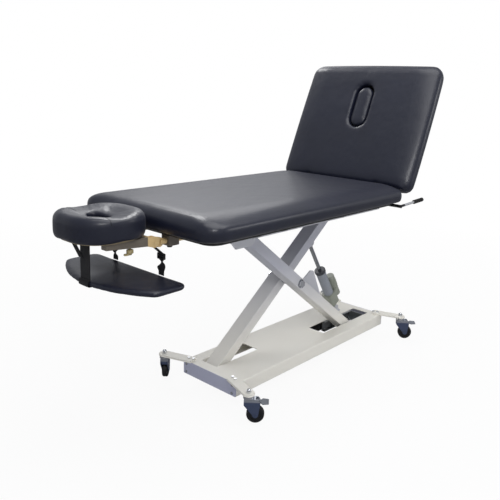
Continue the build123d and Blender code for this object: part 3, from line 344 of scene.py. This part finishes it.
def points_of(mesh):
    """The mesh's points as an array of one row each."""
    points = np.empty(len(mesh.vertices) * 3)
    mesh.vertices.foreach_get("co", points)
    return points.reshape(-1, 3)


def put_points(mesh, points):
    """Move the mesh's points to the rows of an array."""
    mesh.vertices.foreach_set("co", points.reshape(-1))
    mesh.update()


def apply_modifiers(piece):
    """Swap the piece's mesh for the one its modifiers give."""
    shown = piece.evaluated_get(bpy.context.evaluated_depsgraph_get())
    mesh = bpy.data.meshes.new_from_object(shown)
    piece.modifiers.clear()
    piece.data = mesh


def modified(piece, kind, **settings):
    """Give the piece one modifier with these settings and apply it."""
    modifier = piece.modifiers.new(kind.lower(), kind)
    for key, value in settings.items():
        setattr(modifier, key, value)
    apply_modifiers(piece)


def swell(piece, height, free, cap):
    """Cloth swollen by pressure, held where its height above the board is under HELD_UNDER: each point then
    stands at start + free * its move, the move cut to cap, and the skin is relaxed."""
    start = points_of(piece.data)
    held = piece.vertex_groups.new(name="held")
    held.add(np.nonzero(height < HELD_UNDER)[0].tolist(), 1.0, "REPLACE")
    cloth = piece.modifiers.new("foam", "CLOTH")
    settings = cloth.settings
    settings.use_pressure = True
    settings.uniform_pressure_force = FOAM_PRESSURE
    settings.quality = 4
    settings.vertex_group_mass = "held"
    settings.effector_weights.gravity = 0.0
    cloth.collision_settings.use_collision = False
    for step in range(1, SWELL_STEPS + 1):
        SCENE.frame_set(step)
    apply_modifiers(piece)
    moved = points_of(piece.data) - start
    length = np.linalg.norm(moved, axis=1, keepdims=True)
    moved *= cap / np.maximum(length, cap)
    put_points(piece.data, start + moved * free)
    SCENE.frame_set(1)
    modified(piece, "SMOOTH", iterations=RELAX_TURNS)


def skin_of(node, name, grid, cap, inset, height_above, shape):
    """Cushion skin from the solid: remeshed on a grid, drawn in by inset along its normals, swollen by no
    more than cap, and given its shape. height_above gives each point's height above what the cushion lies
    on, and the skin stays still there."""
    mesh = NODES[node].data.copy()
    merged = bmesh.new()
    merged.from_mesh(mesh)
    bmesh.ops.remove_doubles(merged, verts=merged.verts, dist=MERGE_WITHIN)
    merged.to_mesh(mesh)
    merged.free()
    piece = new_piece(name, mesh, VINYL)
    modified(piece, "REMESH", mode="VOXEL", voxel_size=grid, adaptivity=0.0)
    modified(piece, "SMOOTH", iterations=SOFTEN_TURNS)
    rest = points_of(piece.data)
    normals = np.empty(rest.size)
    piece.data.vertices.foreach_get("normal", normals)
    height = height_above(rest)
    free = np.clip(height / FREE_FROM, 0, 1)[:, None]
    put_points(piece.data, rest - normals.reshape(-1, 3) * inset * free)
    swell(piece, height, free, cap)
    put_points(piece.data, shape(points_of(piece.data)))
    modified(piece, "SUBSURF", levels=1, render_levels=1)
    piece.data.shade_smooth()
    give(piece.data, VINYL)
    return piece


def inside_outline(u, v, low, high, corner):
    """Distance inward from a rounded rectangle's outline, in the plane of u and v."""
    half_u = (high[0] - low[0]) / 2
    half_v = (high[1] - low[1]) / 2
    past_u = np.abs(u - (low[0] + high[0]) / 2) - half_u + corner
    past_v = np.abs(v - (low[1] + high[1]) / 2) - half_v + corner
    from_corner = np.hypot(np.maximum(past_u, 0), np.maximum(past_v, 0))
    outside = from_corner + np.minimum(np.maximum(past_u, past_v), 0) - corner
    return np.maximum(-outside, 0)


def rolled(w, inward, base, top, reach, drop):
    """Heights with the upper edge rolled over as part of an ellipse: at the edge the top is lower by drop,
    at reach inward it is as it was, and the base stays."""
    share = 1 - np.sqrt(1 - np.clip(1 - inward / reach, 0, 1) ** 2)
    return w - drop * share * np.clip((w - base) / (top - base), 0, 1)


def crowned(inward, reach):
    """Share of a soft crown: 1 - (1 - inward / reach)^2, nothing at the edge and all of it from reach
    inward."""
    return 1 - (1 - np.clip(inward / reach, 0, 1)) ** 2


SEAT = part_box("seat_cushion")
SEAT_CORNER = 80 * MM
SEAT_CROWN = 10 * MM
SEAT_CROWN_REACH = 75 * MM
SEAT_ROLL = (62 * MM, 15 * MM)  # reach and drop, at the head end
SEAT_ROLL_BASE = 10 * MM
SEAT_BULGE = 4 * MM


def seat_shape(points):
    """Seat: the foam swells by SEAT_CROWN within a hand of its edge, with the square of the height; the
    head-end edge is rolled over; and the long sides bulge by SEAT_BULGE * sin(pi * height)."""
    x, y, z = points.T
    low, high = SEAT
    level = np.clip((z - low.z) / (high.z - low.z), 0, 1)
    inward = inside_outline(x, y, low, high, SEAT_CORNER)
    new_z = z + SEAT_CROWN * crowned(inward, SEAT_CROWN_REACH) * level ** 2
    new_z = rolled(new_z, np.maximum(x - low.x, 0), low.z + SEAT_ROLL_BASE, new_z.max(), *SEAT_ROLL)
    new_y = y * (1 + SEAT_BULGE / high.y * np.sin(math.pi * level))
    return np.stack((x, new_y, new_z), axis=1)


# Backrest's own axes: u up along it, v across it (Y), w out of its face
BACK_U = np.array([math.cos(BACK_TURN), 0, math.sin(BACK_TURN)])
BACK_W = np.array([-math.sin(BACK_TURN), 0, math.cos(BACK_TURN)])
BACK_BOARD_FACE = (points_of(NODES["backrest_board"].data) @ BACK_W).max()
BACK_CORNER = 55 * MM
BACK_FAR_SLACK = 8 * MM  # the outline is taken this much wider at the far side, whose edge so stays fuller
BACK_ROLL_BASE = 4 * MM
BACK_ROLL = (55 * MM, 14 * MM)  # reach and drop all round, and then what the top and the near edge add
BACK_TOP_ROLL = (62 * MM, 42 * MM)
BACK_NEAR_ROLL = (60 * MM, 14 * MM)
BACK_CROWN = 6 * MM
BACK_CROWN_REACH = 110 * MM
HOLE_RIM_DROP = 5 * MM
HOLE_RIM_REACH = 22 * MM
BACK_WIDEN = 5 * MM
BACK_BOW = 4 * MM
BACK_LIFT = 12 * MM
BACK_LIFT_FALL = 0.35


def oval_of(points):
    """Middle along u, half the straight part and end radius of the upright oval that points fill."""
    u = points @ BACK_U
    radius = np.ptp(points[:, 1]) / 2
    return (u.min() + u.max()) / 2, np.ptp(u) / 2 - radius, radius


def back_shape(points):
    """Backrest: its edges are rolled over and its face crowned. The face sinks about the breathing hole by
    HOLE_RIM_DROP * (1 - distance / HOLE_RIM_REACH)^2, its sides stand out by BACK_WIDEN, and halfway up by
    BACK_BOW more, and the upper half stretches to an arched top, BACK_LIFT * (1 - BACK_LIFT_FALL * (v /
    half width)^2)."""
    u = points @ BACK_U
    v = points[:, 1]
    w = points @ BACK_W
    low = (u.min(), v.min())
    high = (u.max(), v.max())
    mid_u = (low[0] + high[0]) / 2
    top = w.max()
    inward = inside_outline(u, v, low, (high[0], high[1] + BACK_FAR_SLACK), BACK_CORNER)
    level = np.clip((w - BACK_BOARD_FACE) / (top - BACK_BOARD_FACE), 0, 1)
    new_w = w
    for from_edge, roll in ((inward, BACK_ROLL), (high[0] - u, BACK_TOP_ROLL), (v - low[1], BACK_NEAR_ROLL)):
        new_w = rolled(new_w, from_edge, BACK_BOARD_FACE + BACK_ROLL_BASE, top, *roll)
    new_w += BACK_CROWN * crowned(inward, BACK_CROWN_REACH) * level
    mid, straight, radius = oval_of(points_of(NODES["breathing_plug"].data))
    from_rim = np.hypot(np.maximum(np.abs(u - mid) - straight, 0), v) - radius
    new_w -= HOLE_RIM_DROP * np.clip(1 - from_rim / HOLE_RIM_REACH, 0, 1) ** 2 * level
    up = (u - mid_u) / (high[0] - mid_u)
    lift = BACK_LIFT * np.clip(up, 0, 1) * (1 - BACK_LIFT_FALL * (v / high[1]) ** 2)
    moved = points + (new_w - w)[:, None] * BACK_W + lift[:, None] * BACK_U
    moved[:, 1] = v * (1 + (BACK_WIDEN + BACK_BOW * (1 - up ** 2)) / high[1])
    return moved


PLUG_DOME = 3 * MM
PLUG_EDGE_FALL = 3 * MM
PLUG_GROWTH = 1.2 * MM


def plug_shape(points):
    """Breathing plug: its face domes by PLUG_DOME * (1 - r^2) - PLUG_EDGE_FALL * r^4, with r from 0 on its
    middle line to 1 at its edge, and the plug grows by PLUG_GROWTH to fill its hole."""
    u = points @ BACK_U
    v = points[:, 1]
    w = points @ BACK_W
    mid, straight, radius = oval_of(points)
    past = np.sign(u - mid) * np.maximum(np.abs(u - mid) - straight, 0)
    r = np.hypot(past, v) / radius
    level = ((w - w.min()) / (w.max() - w.min())) ** 3
    rise = level * (PLUG_DOME * (1 - r ** 2) - PLUG_EDGE_FALL * r ** 4)
    growth = PLUG_GROWTH / radius
    moved = points + rise[:, None] * BACK_W + (growth * past)[:, None] * BACK_U
    moved[:, 1] += growth * v
    return moved


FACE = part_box("cradle_cushion")
FACE_HOLE_X = FACE[0].x + 132 * MM
SADDLE_DEPTH = 11 * MM  # of the solid's sunk saddle, and half its length
SADDLE_HALF = 70 * MM
SADDLE_FILL = 0.4
FACE_HOLLOW_DEPTH = 16 * MM
FACE_HOLLOW_R = 108 * MM
FACE_RIM_DROP = 9 * MM
FACE_RIM_REACH = 20 * MM
HOLE_DRAW = 0.7
HOLE_DRAW_R = 105 * MM
HOLE_DRAW_SHIFT = 14 * MM  # from the hole's middle toward the head end: where the points are drawn to
HOLE_DRAW_RISE = 1.6  # the draw grows with the height and is whole from 1 / 1.6 of it up


def face_shape(points):
    """Face cushion: its solid's saddle, an arc, is filled by SADDLE_FILL; its hollow goes down toward the
    hole by FACE_HOLLOW_DEPTH * (1 - (r / FACE_HOLLOW_R)^2); its lower rim bulges down over the platform's
    edge; and round the hole each point is drawn in by HOLE_DRAW * (1 - r / HOLE_DRAW_R) of its distance, to
    make the hole smaller."""
    x, y, z = points.T
    low, high = FACE
    from_hole = x - FACE_HOLE_X
    r = np.hypot(from_hole, y)
    level = np.clip((z - low.z) / (high.z - low.z), 0, 1)
    arc = (SADDLE_HALF ** 2 + SADDLE_DEPTH ** 2) / (2 * SADDLE_DEPTH)
    saddle = np.maximum(SADDLE_DEPTH - arc + np.sqrt(np.maximum(arc ** 2 - from_hole ** 2, 0)), 0)
    hollow = np.clip(1 - (r / FACE_HOLLOW_R) ** 2, 0, 1)
    rim = np.clip(1 - inside_outline(x, y, low, high, high.y) / FACE_RIM_REACH, 0, 1)
    raised = SADDLE_FILL * saddle - FACE_HOLLOW_DEPTH * hollow
    new_z = z + raised * level ** 2 - FACE_RIM_DROP * rim * (1 - level)
    draw = HOLE_DRAW * np.clip(1 - r / HOLE_DRAW_R, 0, 1) * np.clip(HOLE_DRAW_RISE * level, 0, 1)
    return np.stack((x - draw * (from_hole + HOLE_DRAW_SHIFT), y - draw * y, new_z), axis=1)


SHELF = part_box("arm_shelf")
SHELF_SHIFT = -12 * MM


def shelf_shape(points):
    """Arm shelf: moved by SHELF_SHIFT toward the head end, where the photograph has it."""
    return points + (SHELF_SHIFT, 0, 0)


def height_over_level(z):
    """Heights of points above a level board whose top is at z."""
    return lambda points: points[:, 2] - z


def height_over_back_board(points):
    """Heights of points above the face of the leaning backrest board."""
    return points @ BACK_W - BACK_BOARD_FACE


ON_SEAT_BOARD = height_over_level(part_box("seat_board")[1].z)
ON_PLATFORM = height_over_level(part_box("cradle_platform")[1].z)
HANGING = height_over_level(SHELF[0].z - FREE_FROM)  # free all over
CUSHIONS = (
    # node, piece, body, and below them: grid, cap, inset, height above what it lies on, shape
    ("seat_cushion", "seat_pad", "top",
     9 * MM, 2.5 * MM, 0.8 * MM, ON_SEAT_BOARD, seat_shape),
    ("backrest_cushion", "backrest_pad", "backrest",
     8 * MM, 1.2 * MM, 0.4 * MM, height_over_back_board, back_shape),
    ("breathing_plug", "breathing_hole_plug", "plug",
     4 * MM, 1 * MM, 0.5 * MM, height_over_back_board, plug_shape),
    ("cradle_cushion", "face_cushion", "cradle_head",
     5 * MM, 1.5 * MM, 0.5 * MM, ON_PLATFORM, face_shape),
    ("arm_shelf", "arm_rest_pad", "shelf",
     6 * MM, 1.5 * MM, 1 * MM, HANGING, shelf_shape),
)
for node, piece_name, body, grid, cap, inset, height_above, shape in CUSHIONS:
    pad = skin_of(node, piece_name, grid, cap, inset, height_above, shape)
    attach(pad, body)
    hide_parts(node)


def closed_sweep(name, rings):
    """Closed mesh through an array of rings of points: a quad between each two neighbours of a ring and of
    the next ring, and one face at each end."""
    here = np.arange(rings.shape[0] * rings.shape[1]).reshape(rings.shape[:2])
    beside = np.roll(here, -1, axis=1)
    quads = np.stack((here[:-1], beside[:-1], beside[1:], here[1:]), axis=-1).reshape(-1, 4)
    faces = quads.tolist() + [here[0, ::-1].tolist(), here[-1].tolist()]
    mesh = bpy.data.meshes.new(name)
    mesh.from_pydata(rings.reshape(-1, 3).tolist(), [], faces)
    mesh.update()
    return mesh


def thread_mesh(name, path, radius, sides=6):
    """Thread about a path: ring k has its points at path[k] + radius (cos a * side - sin a * up), with side
    level and up square to the path and to side."""
    ahead = np.gradient(path, axis=0)
    ahead /= np.linalg.norm(ahead, axis=1, keepdims=True)
    side = np.cross(ahead, [0.0, 0.0, 1.0])
    side /= np.linalg.norm(side, axis=1, keepdims=True)
    up = np.cross(side, ahead)
    turns = np.arange(sides)[:, None] * 2 * math.pi / sides
    turned = np.cos(turns) * side[:, None] - np.sin(turns) * up[:, None]
    return closed_sweep(name, path[:, None] + radius * turned)


def surface_over(piece):
    """A function that gives the height of the piece's top surface at x, y."""
    mesh = piece.data
    tree = BVHTree.FromPolygons(points_of(mesh).tolist(), [tuple(f.vertices) for f in mesh.polygons])

    def top(x, y):
        hit = tree.ray_cast(Vector((x, y, CAD_BOX[1][2] + 1)), Vector((0, 0, -1)))[0]
        return None if hit is None else hit.z
    return top


FACE_PAD = bpy.data.objects["face_cushion"]
FACE_TOP = surface_over(FACE_PAD)
SEAM_X = FACE[0].x + 86 * MM
SEAM_Y = np.linspace(58 * MM, 134 * MM, 60)
SEAM_LOWEST = FACE[0].z + 40 * MM
SEAM_SUNK = 0.3 * MM
SEAM_R = 0.9 * MM

for sign, side_name in ((-1, "near"), (1, "far")):
    heights = [(y, FACE_TOP(SEAM_X, y)) for y in sign * SEAM_Y]
    line = np.array([(SEAM_X, y, z - SEAM_SUNK) for y, z in heights if z is not None and z > SEAM_LOWEST])
    seam_name = "face_cushion_seam_" + side_name
    add_to(FACE_PAD, seam_name, thread_mesh(seam_name, line, SEAM_R), THREAD)

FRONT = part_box("front_strap")
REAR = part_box("rear_straps")
STRAP_THICK = 2.2 * MM
SHARES = np.linspace(0, 1, 65)  # of a strap's length, from its lower end up
FRONT_W = 52 * MM
FRONT_X = (FRONT[0].x + FRONT[1].x) / 2 + SHELF_SHIFT
BRANCH_W = 26 * MM
BRANCH_X = FRONT_X - 1.5 * MM
BRANCH_LOW = (BRANCH_X, 20 * MM, 664 * MM)
BRANCH_HIGH = (BRANCH_X, 86 * MM, FRONT[1].z)
REAR_W = 26 * MM
REAR_X = (REAR[0].x + REAR[1].x) / 2
REAR_Y = REAR[1].y - REAR_W / 2
REAR_TOP_GAP = 0.4 * MM
REAR_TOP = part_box("cradle_knuckles")[0].z - REAR_TOP_GAP
REAR_TOP_X = REAR_X - 8 * MM
REAR_TOP_Y = 100 * MM
BUCKLE_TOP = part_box("strap_buckles")[1].z
TWIST_LOW = 0.12
TWIST_HIGH = 0.64
WRAP_PROUD = 0.6 * MM  # of the shelf
WRAP_THICK = 2 * MM
WRAP_R = 7 * MM
WRAP_UNDER = 34 * MM
EDGE_BOW_R = 409 * MM


def strap_mesh(name, line, width, turn=0.0, across=6):
    """Flat webbing about a line of points. Its width points along (sin a, cos a, 0), with a the turn at
    each point, and its corners are the line +- width / 2 along it and +- STRAP_THICK / 2 across it."""
    a = np.broadcast_to(turn, len(line))
    wide = np.stack((np.sin(a), np.cos(a), 0 * a), axis=1)[:, None]
    out = np.stack((np.cos(a), -np.sin(a), 0 * a), axis=1)[:, None]
    middle = line[:, None] + wide * width * (np.arange(across + 1) / across - 0.5)[:, None]
    return closed_sweep(name, np.concatenate((middle + out * STRAP_THICK / 2,
                                              middle[:, ::-1] - out * STRAP_THICK / 2), axis=1))


def line_between(start, end):
    """Points from start to end."""
    return np.array(start) + SHARES[:, None] * np.subtract(end, start)


def twist(share):
    """Half a turn between TWIST_LOW and TWIST_HIGH, eased at both ends: pi (3 s^2 - 2 s^3)."""
    s = np.clip((share - TWIST_LOW) / (TWIST_HIGH - TWIST_LOW), 0, 1)
    return math.pi * s ** 2 * (3 - 2 * s)


def rear_mesh(name, sign):
    """Rear strap: plumb from the shelf to its buckle, straight on from there to its knuckle, and
    twisted."""
    z = REAR[0].z + SHARES * (REAR_TOP - REAR[0].z)
    x = np.interp(z, (BUCKLE_TOP, REAR_TOP), (REAR_X, REAR_TOP_X))
    y = sign * np.interp(z, (BUCKLE_TOP, REAR_TOP), (REAR_Y, REAR_TOP_Y))
    return strap_mesh(name, np.stack((x, y, z), axis=1), REAR_W, sign * twist(SHARES))


def wrap_mesh(name, across=8):
    """The front strap's end, sewn round the shelf's front edge. Its profile, in x and z, runs along the
    shelf's top, round two arcs of WRAP_R and back under the shelf, and again WRAP_THICK inside that. Across
    the strap it follows the edge's bow: it lies further back by R - sqrt(R^2 - y^2), with R =
    EDGE_BOW_R."""
    high = SHELF[1].z + WRAP_PROUD
    low = SHELF[0].z - WRAP_PROUD
    nose = SHELF[0].x + SHELF_SHIFT - WRAP_PROUD
    centre_x = nose + WRAP_R
    over = np.linspace(0.2, math.pi / 2, 6)
    under = np.linspace(0, math.pi / 2, 7)
    shown = np.vstack((
        [(FRONT_X, high), (centre_x, high)],
        np.stack((centre_x - WRAP_R * np.sin(over), high - WRAP_R + WRAP_R * np.cos(over)), axis=1),
        np.stack((centre_x - WRAP_R * np.cos(under), low + WRAP_R - WRAP_R * np.sin(under)), axis=1),
        [(nose + WRAP_UNDER, low)]))
    ends_twice = np.vstack((shown[:1], shown, shown[-1:]))
    ahead = ends_twice[2:] - ends_twice[:-2]
    outward = np.stack((ahead[:, 1], -ahead[:, 0]), axis=1) / np.linalg.norm(ahead, axis=1, keepdims=True)

    def laid_across(profile, y):
        back = EDGE_BOW_R - np.sqrt(EDGE_BOW_R ** 2 - y ** 2)
        return np.stack(np.broadcast_arrays(profile[:, :1] + back, y, profile[:, 1:]), axis=-1)
    y = np.linspace(-FRONT_W / 2, FRONT_W / 2, across + 1)
    sunk = shown - WRAP_THICK * outward
    return closed_sweep(name, np.concatenate((laid_across(shown, y), laid_across(sunk, y[::-1])), axis=1))


rear = new_piece("rear_strap_near", rear_mesh("rear_strap_near", -1), WEBBING)
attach(rear, "rear_hangers")
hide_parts("rear_straps")
add_to(rear, "rear_strap_far", rear_mesh("rear_strap_far", 1), WEBBING)

front_line = line_between((FRONT_X, 0, FRONT[0].z), (FRONT_X, 0, FRONT[1].z))
front = new_piece("front_strap_band", strap_mesh("front_strap_band", front_line, FRONT_W), WEBBING)
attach(front, "front_hanger")
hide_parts("front_strap")
branch = strap_mesh("front_strap_branch", line_between(BRANCH_LOW, BRANCH_HIGH), BRANCH_W)
add_to(front, "front_strap_branch", branch, WEBBING)

wrap = new_piece("front_strap_wrap", wrap_mesh("front_strap_wrap"), WEBBING)
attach(wrap, "shelf")


def studio_floor():
    """Pale floor. The camera sees it nearly white about the table and white further off, and it keeps the
    table's shadow; mirrors see it darker."""
    h = FLOOR_HALF
    z = CAD_BOX[0][2]
    mesh = bpy.data.meshes.new("floor")
    mesh.from_pydata([(-h, -h, z), (h, -h, z), (h, h, z), (-h, h, z)], [], [(0, 1, 2, 3)])
    material = bpy.data.materials.new("studio floor")
    material.use_nodes = True
    tree = material.node_tree
    tree.nodes.clear()
    ray = add(tree, "ShaderNodeLightPath")
    coords = add(tree, "ShaderNodeTexCoord").outputs["Object"]
    away = add(tree, "ShaderNodeVectorMath", {"operation": "LENGTH"}, {0: coords}).outputs["Value"]
    ramp = add(tree, "ShaderNodeMapRange", {"From Min": FLOOR_FADE[0], "From Max": FLOOR_FADE[1],
                                            "To Min": FLOOR_NEAR_WHITE, "To Max": 1.0}, {"Value": away})
    share = add(tree, "ShaderNodeMath", {"operation": "MULTIPLY"},
                {0: ramp.outputs[0], 1: ray.outputs["Is Camera Ray"]})
    shade = add(tree, "ShaderNodeMix",
                {"data_type": "RGBA", COLOUR_A: FLOOR_COLOUR, COLOUR_B: FLOOR_IN_MIRRORS},
                {0: ray.outputs["Is Glossy Ray"]})
    diffuse = add(tree, "ShaderNodeBsdfDiffuse", {}, {"Color": shade.outputs[COLOUR_OUT]})
    white = add(tree, "ShaderNodeEmission", {"Color": WHITE, "Strength": 1.0})
    mix = add(tree, "ShaderNodeMixShader", {},
              {0: share.outputs[0], 1: diffuse.outputs[0], 2: white.outputs[0]})
    add(tree, "ShaderNodeOutputMaterial", {}, {"Surface": mix.outputs[0]})
    new_piece("studio_floor", mesh, material)


def surroundings():
    """White to the camera and through glass, and a dim cool sky for the light and the mirrors."""
    world = bpy.data.worlds.new("studio")
    world.use_nodes = True
    SCENE.world = world
    tree = world.node_tree
    tree.nodes.clear()
    ray = add(tree, "ShaderNodeLightPath")
    seen = add(tree, "ShaderNodeMath", {"operation": "MAXIMUM"},
               {0: ray.outputs["Is Camera Ray"], 1: ray.outputs["Is Transmission Ray"]})
    dim = add(tree, "ShaderNodeBackground", {"Color": SKY_COLOUR, "Strength": SKY_STRENGTH})
    white = add(tree, "ShaderNodeBackground", {"Color": WHITE, "Strength": 1.0})
    mix = add(tree, "ShaderNodeMixShader", {}, {0: seen.outputs[0], 1: dim.outputs[0], 2: white.outputs[0]})
    add(tree, "ShaderNodeOutputWorld", {}, {"Surface": mix.outputs[0]})


def softboxes():
    """Five soft lamps, each turned to face LAMP_AIM."""
    for name, at, size, power in LAMPS:
        lamp = bpy.data.lights.new(name, "AREA")
        lamp.size = size
        lamp.energy = power
        holder = bpy.data.objects.new(name, lamp)
        holder.location = at
        holder.rotation_euler = (LAMP_AIM - Vector(at)).to_track_quat("-Z", "Y").to_euler()
        SCENE.collection.objects.link(holder)


def camera():
    """Camera at the photograph's place: yaw from +Y toward +X, pitch down, then roll about the line of
    sight."""
    ahead = Vector((math.sin(CAMERA_YAW) * math.cos(CAMERA_PITCH),
                    math.cos(CAMERA_YAW) * math.cos(CAMERA_PITCH), -math.sin(CAMERA_PITCH)))
    level = Vector((math.cos(CAMERA_YAW), -math.sin(CAMERA_YAW), 0))
    up = level.cross(ahead)
    c = math.cos(CAMERA_ROLL)
    s = math.sin(CAMERA_ROLL)
    right = c * level + s * up
    top = c * up - s * level
    lens = bpy.data.cameras.new("photo camera")
    lens.sensor_width = SENSOR_MM
    lens.lens = CAMERA_FOCUS_PX / FRAME_PX * SENSOR_MM
    lens.shift_x = (FRAME_PX / 2 - OPTICAL_AXIS_PX[0]) / FRAME_PX
    lens.shift_y = (OPTICAL_AXIS_PX[1] - FRAME_PX / 2) / FRAME_PX
    holder = bpy.data.objects.new("photo camera", lens)
    turn = Matrix((right, top, -ahead)).transposed().to_4x4()
    holder.matrix_world = Matrix.Translation(CAMERA_AT) @ turn
    SCENE.collection.objects.link(holder)
    SCENE.camera = holder


studio_floor()
surroundings()
softboxes()
camera()
SCENE.view_settings.view_transform = "Standard"
